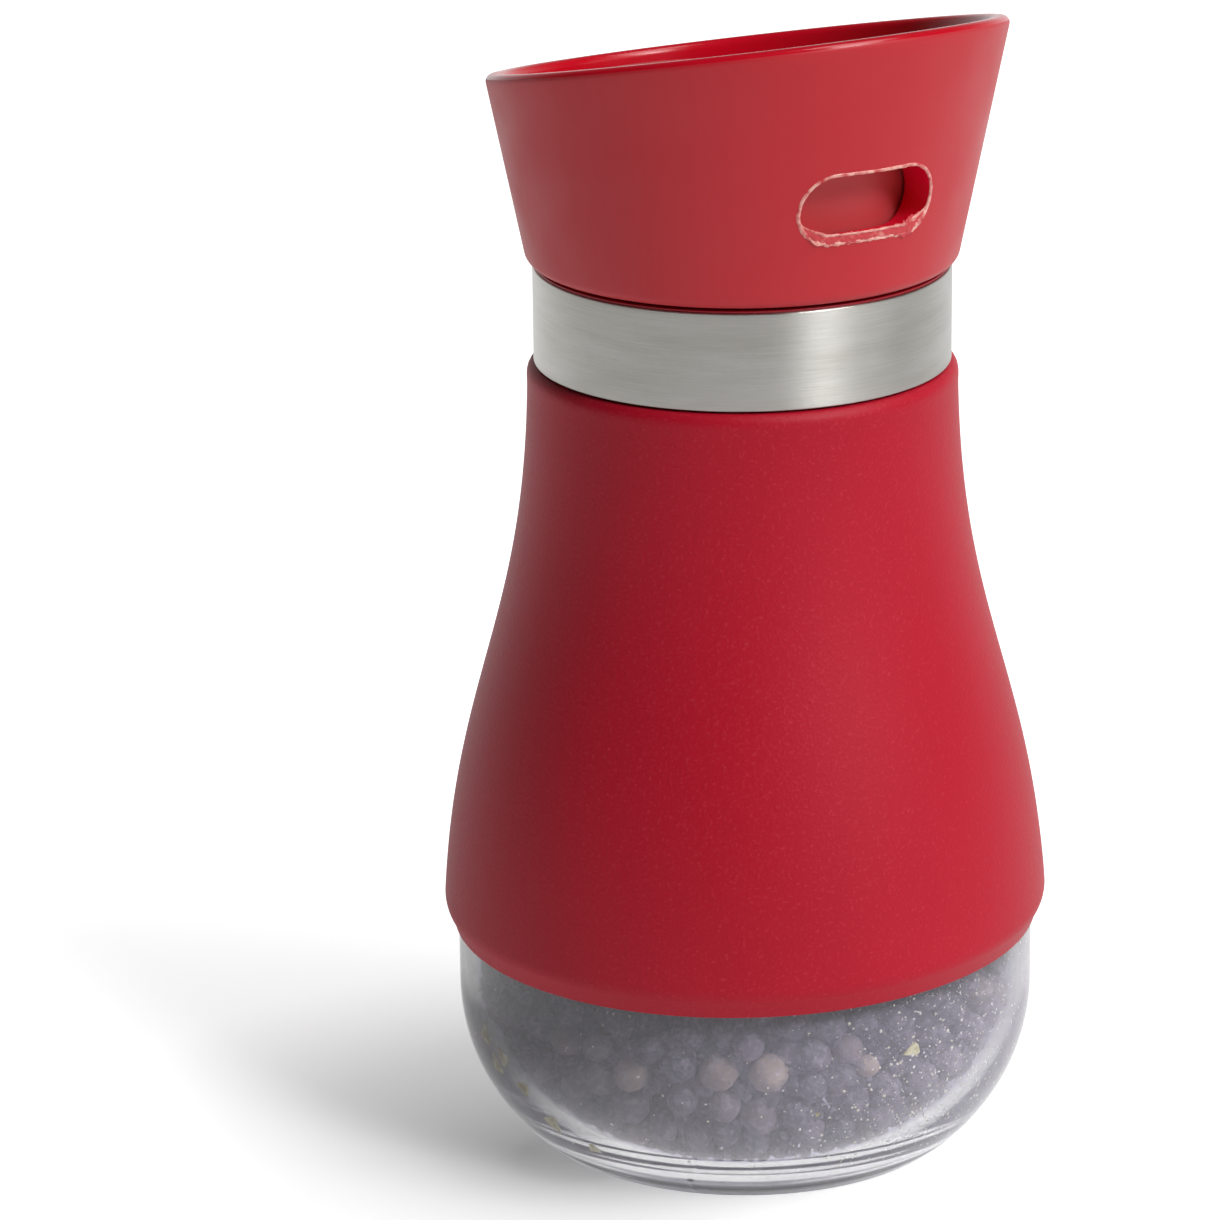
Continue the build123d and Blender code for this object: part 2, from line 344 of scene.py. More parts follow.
floorSet = {
    "size": 4.0,
    "pale": (0.75, 0.77),
    "near": 0.24,  # glow that the backdrop adds close to the object and away from it; the lower glow near the object is painted shade round its foot
    "far": 0.72,
    "fade": (0.006, 0.060),  # metres from the middle of the shade, cast and painted
    "fadePower": 0.72,
    "middle": (-0.020, -0.014),  # metres to the right of the object and behind it
    "bounce": 0.25,  # share of the glow that lights the object from below
    "mirrored": 0.45,  # glow that metal and gloss show
    # how bright the floor looks through glass: a painted pool of light under the jar, in place of the
    # light that the jar gathers, against the open floor, and less of either in a painted shade to its
    # left
    "paintedPool": (1.0, 0.46),
    "poolMiddle": (0.004, -0.016),
    "poolFade": (0.020, 0.055),
    "shade": (0.12, 1.0),
    "shadeMiddle": (-0.046, 0.004),
    "shadeFade": (0.014, 0.040),
}


def floorFade(tree, levels, middle, fade):
    # from one level to another away from a spot, which is given to the right of the object and behind it
    place = addNode(tree, "NewGeometry").outputs["Position"]
    spot = orbit @ Vector((*middle, 0))
    away = addNode(tree, "VectorMath", {0: place, 1: spot}, operation="DISTANCE").outputs["Value"]
    return spread(tree, away, *levels, *fade)


def layFloor():
    f = floorSet
    size = f["size"]
    mesh = bpy.data.meshes.new("floor")
    corners = [(-size, -size, 0), (size, -size, 0), (size, size, 0), (-size, size, 0)]
    mesh.from_pydata(corners, [], [(0, 1, 2, 3)])
    material, tree, shader = startMaterial("paleFloor", Roughness=0.9, Specular_IOR_Level=0.1)
    mottle = spread(tree, grain(tree, 60, 4), *f["pale"])
    pale = addNode(tree, "CombineColor", {0: mottle, 1: mottle, 2: mottle}).outputs[0]
    feed(tree, shader, Base_Color=pale)
    # painted shade: the lift that makes the floor white is lowest round the middle of the shade and
    # grows away from it, so the floor is darker near the foot
    share = floorFade(tree, (0, 1), f["middle"], f["fade"])
    share = calculate(tree, "POWER", share, f["fadePower"])
    liftWithPaintedShade = spread(tree, share, f["near"], f["far"], 0, 1)
    liftWithPaintedShade = calculate(tree, "MULTIPLY", seenBy(tree, "Is Camera Ray"), liftWithPaintedShade)
    bounce = f["bounce"] * f["far"]
    for ray, level in (("Is Diffuse Ray", bounce), ("Is Glossy Ray", f["mirrored"])):
        part = calculate(tree, "MULTIPLY", seenBy(tree, ray), level)
        liftWithPaintedShade = calculate(tree, "MAXIMUM", liftWithPaintedShade, part)
    lift = addNode(tree, "Emission", {"Color": white, "Strength": liftWithPaintedShade})
    lit = addNode(tree, "AddShader", {0: shader.outputs[0], 1: lift.outputs[0]})
    # painted light and shade, seen only through glass: a pool of light under the jar, darker to its left
    paintedPool = floorFade(tree, f["paintedPool"], f["poolMiddle"], f["poolFade"])
    shade = floorFade(tree, f["shade"], f["shadeMiddle"], f["shadeFade"])
    level = calculate(tree, "MULTIPLY", paintedPool, shade)
    through = addNode(tree, "Emission", {"Color": white, "Strength": level})
    showEither(tree, seenBy(tree, "Is Transmission Ray"), lit, through)
    mesh.materials.append(material)
    addObject("floor", mesh)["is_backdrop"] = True


placeCamera()
placeLamps()
paintWorld()
layFloor()
bpy.context.scene.view_settings.view_transform = "Standard"
print("camera, lamps and floor placed")


def plainFinish(name, tones, cloud, haze, roughness, relief=None, specular=0.4, sheen=0, **more):
    # fine noise in tone, roughness and relief; cloud, haze and relief begin with scale and detail
    material, tree, shader = startMaterial(name, Specular_IOR_Level=specular, Sheen_Weight=sheen)
    factor = spread(tree, grain(tree, *cloud), 0, 1, **more)
    feed(tree, shader, Base_Color=mixColour(tree, factor, *tones))
    feed(tree, shader, Roughness=spread(tree, grain(tree, *haze), *roughness))
    if relief:
        scale, detail, depth, strength = relief
        feed(tree, shader, Normal=bump(tree, grain(tree, scale, detail), depth, strength))
    return material


def softRed():
    # matte soft-touch rubber with a fine speckle
    material, tree, shader = startMaterial("softRed", Specular_IOR_Level=0.28)
    shader.inputs["Sheen Weight"].default_value = 0.06
    shader.inputs["Sheen Roughness"].default_value = 0.25
    fleck = grain(tree, 2600, 3)
    cloud = spread(tree, grain(tree, 28, 3), 0, 1)
    tone = mixColour(tree, cloud, (0.45, 0.002, 0.018), (0.49, 0.004, 0.022))
    tone = mixColour(tree, spread(tree, fleck, 0, 0.36, 0.56, 0.78), tone, (0.66, 0.055, 0.08))
    relief = bump(tree, fleck, 0.00006, 0.7)
    relief = bump(tree, grain(tree, 240, 3), 0.00006, 0.35, relief)
    feed(tree, shader, Base_Color=tone, Normal=relief, Roughness=spread(tree, fleck, 0.46, 0.56))
    return material


def tornRed(name, whitenedAndHighlit):
    # torn flash, whitish pink where stressed white and where a highlight is painted along the window's
    # edge; the second argument is where its noise turns pale
    material, tree, shader = startMaterial(name)
    torn = grain(tree, 900, 5)
    pale = spread(tree, torn, 0, 1, *whitenedAndHighlit)
    feed(tree, shader, Base_Color=mixColour(tree, pale, (0.60, 0.04, 0.05), (0.90, 0.46, 0.39)))
    feed(tree, shader, Normal=bump(tree, torn, 0.0001, 0.6), Roughness=spread(tree, torn, 0.25, 0.5))
    return material


def brushedSteel():
    # hairlines run round the band, so the noise is squeezed along Z only
    material, tree, shader = startMaterial("brushedSteel", Metallic=1.0, Anisotropic=0.92)
    shader.inputs["Anisotropic Rotation"].default_value = 0.25
    hair = grain(tree, 130, 5, stretch=(1, 1, 48), roughness=0.7)
    fine = grain(tree, 300, 4, stretch=(1, 1, 30), roughness=0.8)
    cloud = grain(tree, 70, 3, stretch=(1, 1, 6))
    tone = mixColour(tree, spread(tree, hair, 0, 1), (0.37, 0.36, 0.33), (0.49, 0.48, 0.445))
    tone = mixColour(tree, spread(tree, cloud, 0, 0.35), tone, (0.66, 0.655, 0.64))
    relief = bump(tree, fine, 0.00002, 0.55, bump(tree, hair, 0.00003, 0.5))
    feed(tree, shader, Base_Color=tone, Normal=relief, Roughness=spread(tree, hair, 0.30, 0.38))
    tangent = addNode(tree, "Tangent", direction_type="RADIAL", axis="Z")
    feed(tree, shader, Tangent=tangent.outputs[0])
    return material


def clearGlass():
    # grey in its depth; fine pepper dust clings where the attribute "dust" is painted
    material, tree, shader = startMaterial("clearGlass", IOR=1.5)
    painted = addNode(tree, "Attribute", attribute_name="dust").outputs["Fac"]
    film = spread(tree, grain(tree, 800, 6, roughness=0.6), 0.17, 0.31)
    film = calculate(tree, "MULTIPLY", film, painted)
    tone = mixColour(tree, painted, (0.98, 0.98, 0.985), (0.82, 0.77, 0.97))
    feed(tree, shader, Base_Color=tone, Normal=bump(tree, grain(tree, 55, 2), 0.00025, 0.12))
    feed(tree, shader, Roughness=spread(tree, film, 0, 0.04, 0, 0.26))
    feed(tree, shader, Transmission_Weight=spread(tree, film, 1, 0, 0, 1))
    clear = addNode(tree, "BsdfTransparent", {"Color": (0.80, 0.81, 0.81, 1)})
    showEither(tree, seenBy(tree, "Is Shadow Ray"), shader, clear)
    tint = addNode(tree, "VolumeAbsorption", {"Color": (0.50, 0.50, 0.47, 1), "Density": 30.0})
    tree.links.new(tint.outputs[0], tree.nodes["Material Output"].inputs["Volume"])
    return material


def cornSkin():
    # wrinkled peppercorns; the tone painted on each corn runs from near black to tan
    material, tree, shader = startMaterial("cornSkin", Specular_IOR_Level=0.3)
    tone = addNode(tree, "Attribute", attribute_name="cornTone").outputs["Fac"]
    ramp = addNode(tree, "ValToRGB", {"Fac": tone})
    stops = ramp.color_ramp.elements
    stops[0].color, stops[1].color = (0.070, 0.068, 0.080, 1), (0.50, 0.40, 0.28, 1)
    stops.new(0.45).color = (0.20, 0.175, 0.19, 1)
    stops.new(0.7).color = (0.31, 0.235, 0.18, 1)
    crease = grain(tree, 1400, 6, roughness=0.6)
    dust = spread(tree, crease, 0, 0.65, 0.47, 0.70)
    wrinkle = bump(tree, grain(tree, 650, 5), 0.0008, 0.8, bump(tree, crease, 0.00025, 0.6))
    feed(tree, shader, Base_Color=mixColour(tree, dust, ramp.outputs[0], (0.50, 0.47, 0.48)))
    feed(tree, shader, Normal=wrinkle, Roughness=spread(tree, crease, 0.6, 0.85))
    return material


# the polished rim, inside and window of the cap
polished = {
    "cloud": (40, 2),
    "haze": (120, 4),
    "roughness": (0.16, 0.26),
    "relief": (300, 2, 0.00003, 0.25),
}
# crushed pepper, with a sharper change of tone
crushed = {"haze": (900, 3), "specular": 0.5, "start": 0.4, "end": 0.6}

finish = {
    "sleeve": softRed(),
    # the cap's flared wall: satin from the mould, with a faint orange peel
    "cap": plainFinish(
        "satinRed",
        tones=((0.54, 0.014, 0.024), (0.58, 0.019, 0.030)),
        cloud=(22, 2),
        haze=(150, 4),
        roughness=(0.42, 0.52),
        relief=(420, 2, 0.00003, 0.3),
        sheen=0.06,
    ),
    "rim": plainFinish("glossRed", ((0.54, 0.002, 0.013), (0.60, 0.003, 0.017)), **polished),
    # the duct: the same polished plastic in a much brighter red, painted light inside the window where
    # the lamps barely reach
    "duct": plainFinish("ductPaintedLightRed", ((0.84, 0.003, 0.040), (0.90, 0.004, 0.046)), **polished),
    # the cup inside is duller than the cap, with fine moulding haze
    "drum": plainFinish(
        "drumRed",
        tones=((0.58, 0.060, 0.070), (0.62, 0.080, 0.088)),
        cloud=(60, 4),
        haze=(300, 4),
        roughness=(0.42, 0.55),
        relief=(900, 3, 0.00002, 0.4),
        specular=0.45,
    ),
    # deep red, half hidden in its own shadow line
    "collar": plainFinish(
        "lidRed",
        tones=((0.33, 0.006, 0.018), (0.38, 0.010, 0.022)),
        cloud=(80, 3),
        haze=(200, 3),
        roughness=(0.38, 0.5),
        relief=(700, 2, 0.00003, 0.3),
    ),
    # pale flash round the window: partly stress-whitened plastic, partly a painted highlight on its edge
    "flash": tornRed("flashBead", (0.36, 0.60)),
    "flashSkin": tornRed("flashSkin", (0.56, 0.86)),
    "seal": plainFinish(
        "sealSilicone",
        tones=((0.70, 0.69, 0.66), (0.78, 0.77, 0.74)),
        cloud=(90, 3),
        haze=(300, 3),
        roughness=(0.45, 0.6),
        relief=(1200, 2, 0.00002, 0.4),
    ),
    "steel": brushedSteel(),
    "glass": clearGlass(),
    "corn": cornSkin(),
    "powder": plainFinish(
        "pepperPowder",
        tones=((0.86, 0.80, 0.72), (0.95, 0.94, 0.93)),
        cloud=(500, 2),
        roughness=(0.7, 0.9),
        **crushed,
    ),
    "husk": plainFinish(
        "pepperHusk",
        tones=((0.50, 0.42, 0.24), (0.84, 0.80, 0.62)),
        cloud=(900, 3),
        roughness=(0.6, 0.8),
        **crushed,
    ),
}
print("finishes made")


jarSet = {
    "radius": 32.6,
    "wall": 2.0,
    "heelRadius": 22.0,
    "heelAngle": 52.0,
    "heelGap": 4.0,  # degrees of the heel that the foot's rounding takes
    "footWidth": 5.0,
    "footRounding": 0.8,
    "ringRounding": 0.5,
    "ringInside": 24.0,  # under the jar, only what lies beyond this radius has seams and rings
    "pushUp": 1.4,
    "pushUpShare": 0.96,  # share of its arc, clear of the ring's rounding
    "floor": 3.0,
    "floorCorner": 3.5,
    "cornerGap": (2.5, 7.0),  # mm of the floor and degrees of the heel that the corner takes
    "innerHeel": 19.0,
    "heelSpring": 18.2,
    "flankBottom": 25.8,
    "flankTop": 88.4,
    "waist": 22.15,
    "footPull": (1.4, 27.7),
    "waistPull": (0.5, 29.3),
    "neck": 20.0,
    "neckWall": 2.7,
    "funnel": 3.6,
    "shoulder": 89.4,
    "shoulderRounding": 0.9,
    "neckFillet": 0.3,
    "lipRounding": 0.7,
    "threadPitch": 4.0,
    "threadDepth": 0.85,
    "threadWidth": 1.05,
    "threadLow": 91.6,
    "threadTurns": 1.35,
    "threadZone": (0.6, 0.9, 0.2),  # gaps below and above the close rows, and their spacing
    "seamTurn": -45.0,  # degrees round Z from the window's own direction
    "seamHeight": 0.10,
    "seamWidth": 0.22,
    "seamFoot": 0.4,
    "ripple": 0.05,  # depth of the rings that the mould leaves above the foot
    "rippleStep": 1.7,
    "rippleSway": 0.6,
    "rippleFoot": (0.6, 1.2),
    "rippleTop": 7.0,
    "columns": 288,
}


def flank(inset):
    j = jarSet
    foot, waist = j["radius"] - inset, j["waist"] - inset
    return curve(
        (foot, j["flankBottom"]),
        (foot - j["footPull"][0], j["flankBottom"] + j["footPull"][1]),
        (waist + j["waistPull"][0], j["flankTop"] - j["waistPull"][1]),
        (waist, j["flankTop"]),
    )


def insideOfGlass(top):
    # the jar's inside from the axis along the floor, round the heel and up the flank
    j = jarSet
    inner = j["radius"] - j["wall"]
    centre = inner - j["innerHeel"], j["heelSpring"]
    drop = math.degrees(math.asin((j["heelSpring"] - j["floor"]) / j["innerHeel"]))
    corner = (centre[0] + j["innerHeel"] * math.cos(math.radians(drop)), j["floor"])
    floorGap, heelGap = j["cornerGap"]
    heel = arc(centre, j["innerHeel"], -drop + heelGap, 0, steps=40)
    floor = straight((nearAxis, j["floor"]), (corner[0] - floorGap, j["floor"]), spacing=1.5)
    rise = straight((inner, j["heelSpring"]), (inner, j["flankBottom"]), spacing=1.0)[1:-1]
    bend = softened(floor[-1], corner, heel[0], j["floorCorner"], steps=8)
    points = floor + bend + heel + rise + flank(j["wall"])
    return [p for p in points if p[1] <= top + 1e-6]


wholeInside = insideOfGlass(jarSet["flankTop"])
insideWall = np.array([p for p in wholeInside if p[1] > jarSet["floor"] + 0.01])


def wallRadius(height):
    return np.interp(height, insideWall[:, 1], insideWall[:, 0])


def screwRidge(turn, height, low, turns, width):
    # height of a helical ridge, 1 on its crest, with both ends run out
    crestReach, runOut = 1.35, 0.12
    ridge = np.zeros_like(height)
    share = np.mod(turn, 2 * math.pi) / (2 * math.pi)
    for lap in range(math.ceil(turns) + 1):
        along = share + lap
        away = np.abs(height - low - jarSet["threadPitch"] * along) / width
        crest = np.clip(crestReach - away, 0, 1)
        ends = smoothStep(along, 0, runOut) * smoothStep(-along, -turns, runOut - turns)
        ridge = np.maximum(ridge, smoothStep(crest, 0, 1) * ends)
    return ridge


def jarShape(turn, r, z):
    # thread, two mould seams opposite each other, and faint rings above the foot
    j = jarSet
    thread = screwRidge(turn, z, j["threadLow"], j["threadTurns"], j["threadWidth"])
    slack, wallGap = 0.05, 0.2
    onNeck = (np.abs(r - j["neck"]) < slack) & (z > j["shoulder"] + j["neckFillet"])
    r = np.where(onNeck, r + thread * j["threadDepth"], r)
    seamAt = math.radians(j["seamTurn"] - 90)
    away = np.abs(np.sin(turn - seamAt)) * r / j["seamWidth"]
    beyondRing = r > j["ringInside"]
    outside = (r > j["radius"] - j["wall"] + wallGap) | ((z < j["floor"]) & beyondRing)
    seam = np.exp(-(away**2)) * j["seamHeight"] * outside
    top = smoothStep(z, j["rippleTop"] * 0.5, j["rippleTop"])
    fade = smoothStep(z, *j["rippleFoot"]) * (1 - top)
    phase = z * 2 * math.pi / j["rippleStep"] + j["rippleSway"] * np.sin(turn * 2)
    rings = np.sin(phase) * j["ripple"] * fade
    return r + seam * (z > j["seamFoot"]) - rings * beyondRing * outside, z


def seamAngles():
    # even columns, and closer ones beside each seam
    j = jarSet
    closest = 0.0025  # radians
    angles = set(np.linspace(0, 2 * math.pi, j["columns"], endpoint=False))
    near = j["seamWidth"] / j["radius"]
    for turn in (j["seamTurn"], j["seamTurn"] + 180):
        for step in (-2, -1, 0, 1, 2):
            angles.add((math.radians(turn - 90) + step * near) % (2 * math.pi))
    kept = []
    for angle in sorted(angles):
        if not kept or angle - kept[-1] > closest:
            kept.append(angle)
    return np.array(kept)


def makeJar():
    j = jarSet
    heelAngle = math.radians(j["heelAngle"])
    heelCentre = (j["radius"] - j["heelRadius"], j["heelRadius"] * math.sin(heelAngle))
    foot = heelCentre[0] + j["heelRadius"] * math.cos(heelAngle)
    footInner = foot - j["footWidth"]
    dome = (footInner**2 + j["pushUp"] ** 2) / (2 * j["pushUp"])
    edge = math.degrees(math.asin(footInner / dome)) * j["pushUpShare"]
    bore, waist = j["neck"] - j["neckWall"], j["waist"] - j["wall"]
    funnelTop = j["flankTop"] + j["funnel"]
    bend = j["flankTop"] + j["funnel"] / 2
    below, above, spacing = j["threadZone"]
    funnelEnds = (bore, funnelTop), (bore, bend), (waist, bend), (waist, j["flankTop"])
    stations = [
        *arc((0, j["pushUp"] - dome), dome, 90 - nearAxis, 90 - edge, steps=14),
        (footInner, 0, j["ringRounding"]),
        (foot, 0, j["footRounding"]),
        *arc(heelCentre, j["heelRadius"], -j["heelAngle"] + j["heelGap"], 0, steps=72),
        *straight((j["radius"], heelCentre[1]), (j["radius"], j["flankBottom"]), spacing=1.5)[1:-1],
        *flank(0),
        (j["waist"], j["shoulder"], j["shoulderRounding"]),
        (j["neck"], j["shoulder"], j["neckFillet"]),
        *straight((j["neck"], j["shoulder"] + below), (j["neck"], neckTop - above), spacing),
        (j["neck"], neckTop, j["lipRounding"]),
        (bore, neckTop, j["lipRounding"]),
        *straight((bore, neckTop - above), (bore, funnelTop), spacing=1.2),
        *curve(*funnelEnds, steps=12)[1:-1],
        *wholeInside[::-1],
    ]
    form = {"angles": seamAngles(), "shape": jarShape}
    piece = turnPiece("glass_jar", stations, "jar", "glass", "clear_glass", sharp=50, **form)
    places = np.empty(len(piece.data.vertices) * 3)
    piece.data.vertices.foreach_get("co", places)
    places = places.reshape(-1, 3) / mm
    radius, height = np.linalg.norm(places[:, :2], axis=1), places[:, 2]
    slack = 0.1
    onInside = radius < wallRadius(height) + slack
    dusty = (height < fillTop) & (height > j["floor"] - slack) & onInside
    painted = piece.data.attributes.new("dust", "FLOAT", "POINT")
    painted.data.foreach_set("value", dusty.astype(np.float32))  # powder clings where the corns lie


makeJar()
print("glass jar turned")


cornSet = {
    "seed": 41,
    "sizes": (1.65, 2.2),
    "hidden": 29.5,  # above this height the sleeve hides the corns on the wall
    "gap": 0.12,
    "kinds": 14,
    "seedSteps": (7.3, 3.1, 5.7),  # how far the noise shifts from one kind to the next
    "swell": (1.1, 0.07),  # fineness and height of a corn's unevenness
    "creases": ((2.3, 0.16), (4.6, 0.07)),
    "shrink": 0.10,  # what the folds between the creases lose
    "scar": (0.08, 0.03),  # depth and width of the stalk's scar
    "fit": 0.97,  # share of its radius to which a corn is drawn
    "bit": 1.2,  # what is smaller than this counts as a broken bit
    "bitPaintedShade": 0.6,  # by which the bits of common tone are darker: painted shade for the bits in the gaps between corns
    "tones": ((0, 0.4), (0.4, 0.65)),  # common and rare
    "common": 0.92,
    "push": 0.8,  # share of an overlap that one round takes away
}

# layers of corns: depth behind the glass, how close they are thrown, and rounds of pushing apart
layers = [
    {"depth": 0.0, "tries": 6000, "spacing": 0.84, "rounds": 30},
    {"depth": 2.7, "tries": 3000, "spacing": 0.84, "rounds": 8},
]

# broken bits: small ones in the gaps, set back from the glass, and more in the corner of the floor
bits = [
    {"depth": 1.1, "tries": 2400, "spacing": 0.9, "sizes": (0.22, 0.60)},
    {"depth": 0.05, "tries": 1800, "spacing": 0.8, "sizes": (0.4, 1.1), "top": 6.0},
]

# the crown of the fill, seen only when the lid is off
crownSet = {"tries": 1500, "spacing": 0.93, "inset": 2.6, "rise": (-0.5, 0.1)}

# corns that stand out: degrees round Z from the window's own direction, height, radius and tone
paleCorns = [
    {"turn": -27.4, "height": 17.0, "radius": 2.35, "tone": 1.0},
    {"turn": -38.0, "height": 16.4, "radius": 2.25, "tone": 0.78},
    {"turn": -57.5, "height": 15.2, "radius": 2.15, "tone": 0.80},
    {"turn": -5.5, "height": 16.8, "radius": 1.35, "tone": 1.0},
    {"turn": -27.8, "height": 10.6, "radius": 2.1, "tone": 0.50},
    {"turn": -75.0, "height": 18.0, "radius": 1.9, "tone": 0.62},
]


def cornForm(seed, levels=3, broken=1.0):
    # one wrinkled corn of radius 1, with a small stalk scar
    c = cornSet
    shape = bmesh.new()
    bmesh.ops.create_icosphere(shape, subdivisions=levels, radius=1)
    shift = Vector([seed * step for step in c["seedSteps"]])
    (fineness, height), (depth, width) = c["swell"], c["scar"]
    for vert in shape.verts:
        n = vert.co.normalized()
        swell = noise.noise(n * fineness + shift) * height * broken**3
        crease = 0
        for k, (fine, size) in enumerate(c["creases"]):
            crease += abs(noise.noise(n * fine + shift * (k + 2))) * size
        scar = depth * math.exp(-((1 - n.z) / width))
        vert.co = n * (1.0 + swell - c["shrink"] + crease - scar)
    points = np.array([v.co for v in shape.verts])
    faces = np.array([[v.index for v in f.verts] for f in shape.faces])
    shape.free()
    return points, faces


def insideNet(top):
    # points of the jar's inside with their inward normals
    points = np.array(insideOfGlass(top))
    along = np.gradient(points, axis=0)
    along /= np.linalg.norm(along, axis=1)[:, None]
    return points, np.stack([-along[:, 1], along[:, 0]], axis=1)


cornNet = insideNet(cornSet["hidden"])


def keepInside(places, radii, depth):
    # each corn goes back to its depth behind the glass
    points, normals = cornNet
    flat = np.linalg.norm(places[:, :2], axis=1)
    spots = np.stack([flat, places[:, 2]], axis=1)
    nearest = np.argmin(np.linalg.norm(spots[:, None, :] - points[None, :, :], axis=2), axis=1)
    sideways = np.stack([normals[nearest][:, 1], -normals[nearest][:, 0]], axis=1)
    slide = np.sum((spots - points[nearest]) * sideways, axis=1)
    back = (radii + depth + cornSet["gap"])[:, None]
    placed = points[nearest] + normals[nearest] * back + sideways * slide[:, None]
    scale = np.maximum(placed[:, 0], 0.05) / np.maximum(flat, 1e-6)
    return np.stack([places[:, 0] * scale, places[:, 1] * scale, placed[:, 1]], axis=1)


def behindWall(turn, height, back):
    # a spot behind the inside of the glass, and the way out through the glass
    step = 0.2
    slope = float(wallRadius(height + step) - wallRadius(height - step)) / (2 * step)
    angle, flat = math.radians(turn - 90), float(wallRadius(height))
    out = Vector((math.cos(angle), math.sin(angle), -slope)).normalized()
    return Vector((flat * math.cos(angle), flat * math.sin(angle), height)) - out * back, out


def startCorns():
    places = [behindWall(c["turn"], c["height"], c["radius"] + cornSet["gap"])[0] for c in paleCorns]
    return np.array([tuple(p) for p in places]), np.array([c["radius"] for c in paleCorns])


def tooClose(spot, size, placed, radii, spacing):
    away = np.linalg.norm(np.array(placed) - spot, axis=1)
    return np.any(away < (np.array(radii) + size) * spacing)


def spreadCorns(rng, placed, radii, depth, tries, spacing, sizes=cornSet["sizes"], top=math.inf):
    # corns thrown on the inside of the glass, a depth behind it, as close as they fall
    points, normals = cornNet
    weights = np.cumsum(points[:, 0] * (points[:, 1] < top))
    for _ in range(tries):
        k = int(np.searchsorted(weights, rng.random() * weights[-1]))
        radius = rng.uniform(*sizes)
        back = radius + depth + cornSet["gap"]
        flat, height = points[k] + normals[k] * back
        turn = rng.uniform(0, 2 * math.pi)
        if flat < 0.2:
            continue
        spot = np.array([flat * math.cos(turn), flat * math.sin(turn), height])
        if len(placed) and tooClose(spot, radius, placed, radii, spacing):
            continue
        placed = np.vstack([placed, spot])
        radii = np.append(radii, radius)
    return placed, radii


def pushApart(places, radii, depth, rounds):
    for _ in range(rounds):
        tree = kdtree.KDTree(len(places))
        for k, place in enumerate(places):
            tree.insert(place, k)
        tree.balance()
        shift = np.zeros_like(places)
        for k, place in enumerate(places):
            for _, other, distance in tree.find_range(place, radii[k] + cornSet["sizes"][1]):
                want = radii[k] + radii[other]
                if other != k and 1e-6 < distance < want:
                    shift[k] += (place - places[other]) / distance * (want - distance) * 0.5
        places = keepInside(places + shift * cornSet["push"], radii, depth)
    return places, radii


def topCorns(rng):
    c = crownSet
    radius = float(wallRadius(fillTop)) - c["inset"]
    placed, radii = [], []
    for _ in range(c["tries"]):
        size = rng.uniform(*cornSet["sizes"])
        flat, turn = math.sqrt(rng.random()) * radius, rng.uniform(0, 2 * math.pi)
        height = fillTop - c["inset"] + rng.uniform(*c["rise"])
        spot = np.array([flat * math.cos(turn), flat * math.sin(turn), height])
        if placed and tooClose(spot, size, placed, radii, c["spacing"]):
            continue
        placed.append(spot)
        radii.append(size)
    return placed, radii


def makeLayer(rng, placed, radii, depth, tries, spacing, rounds):
    thrown = spreadCorns(rng, placed, radii, depth, tries, spacing)
    return pushApart(*thrown, depth, rounds)


def placeCorns(rng):
    # whole corns first, then the bits among them, then the crown
    first, firstRadii = makeLayer(rng, *startCorns(), **layers[0])
    second, secondRadii = makeLayer(rng, np.zeros((0, 3)), np.zeros(0), **layers[1])
    places, radii = np.vstack([first, second]), np.append(firstRadii, secondRadii)
    for group in bits:
        places, radii = spreadCorns(rng, places, radii, **group)
    top, topRadii = topCorns(rng)
    print("corns and bits:", len(places) + len(top), "corns on the wall:", len(first))
    return zip([*places, *top], [*radii, *topRadii])


def makeCorns():
    c = cornSet
    rng = random.Random(c["seed"])
    placed = placeCorns(rng)
    forms = [cornForm(k) for k in range(c["kinds"])]
    bitForms = [cornForm(k, levels=2, broken=2.0) for k in range(c["kinds"])]
    points, faces, tones, count = [], [], [], 0
    for number, (place, radius) in enumerate(placed):
        form, sides = rng.choice(forms if radius > c["bit"] else bitForms)
        spin = rng.uniform(0, fullTurn)
        axis = Vector([rng.gauss(0, 1) for _ in range(3)])
        body = form @ np.array(Matrix.Rotation(spin, 3, axis)).T * radius * c["fit"] + place
        points.append(body * mm)
        faces += (sides + count).tolist()
        count += len(body)
        common, rare = c["tones"]
        tone = rng.uniform(*common) if rng.random() < c["common"] else rng.uniform(*rare)
        # bits of common tone are darkened: painted shade in the gaps where they lie
        if radius < c["bit"] and tone < common[1]:
            tone *= c["bitPaintedShade"]
        if number < len(paleCorns):
            tone = paleCorns[number]["tone"]
        tones += [tone] * len(body)
    core, coreFaces = makeCore()
    points.append(core)
    faces += [tuple(v + count for v in face) for face in coreFaces]
    verts, nodes = np.vstack(points), ["peppercorns"]
    piece = addPiece("peppercorns", verts, faces, "jar", finish["corn"], "pepper", nodes, sharp=180)
    values = np.zeros(len(piece.data.vertices), np.float32)  # the core stays at 0, the darkest tone: painted shade deep in the fill
    values[: len(tones)] = tones[: len(values)]
    painted = piece.data.attributes.new("cornTone", "FLOAT", "POINT")
    painted.data.foreach_set("value", values)


coreSet = {
    "depth": 6.2,  # how far the dark heart of the fill, painted shade in the darkest corn tone, lies behind the glass
    "hiddenDepth": 0.6,  # the same where the sleeve hides the corns
    "change": 4.0,  # height over which one turns into the other
    "drop": 3.2,  # below the top of the fill
    "rows": 40,
    "sag": 0.4,  # share of the depth by which it follows a lower part of the glass
    "footGap": 0.5,
    "narrowest": 3.0,
    "lump": 0.35,
    "waves": ((23, 1.7), (3, 1.5)),  # of the lumps, around and upwards
}


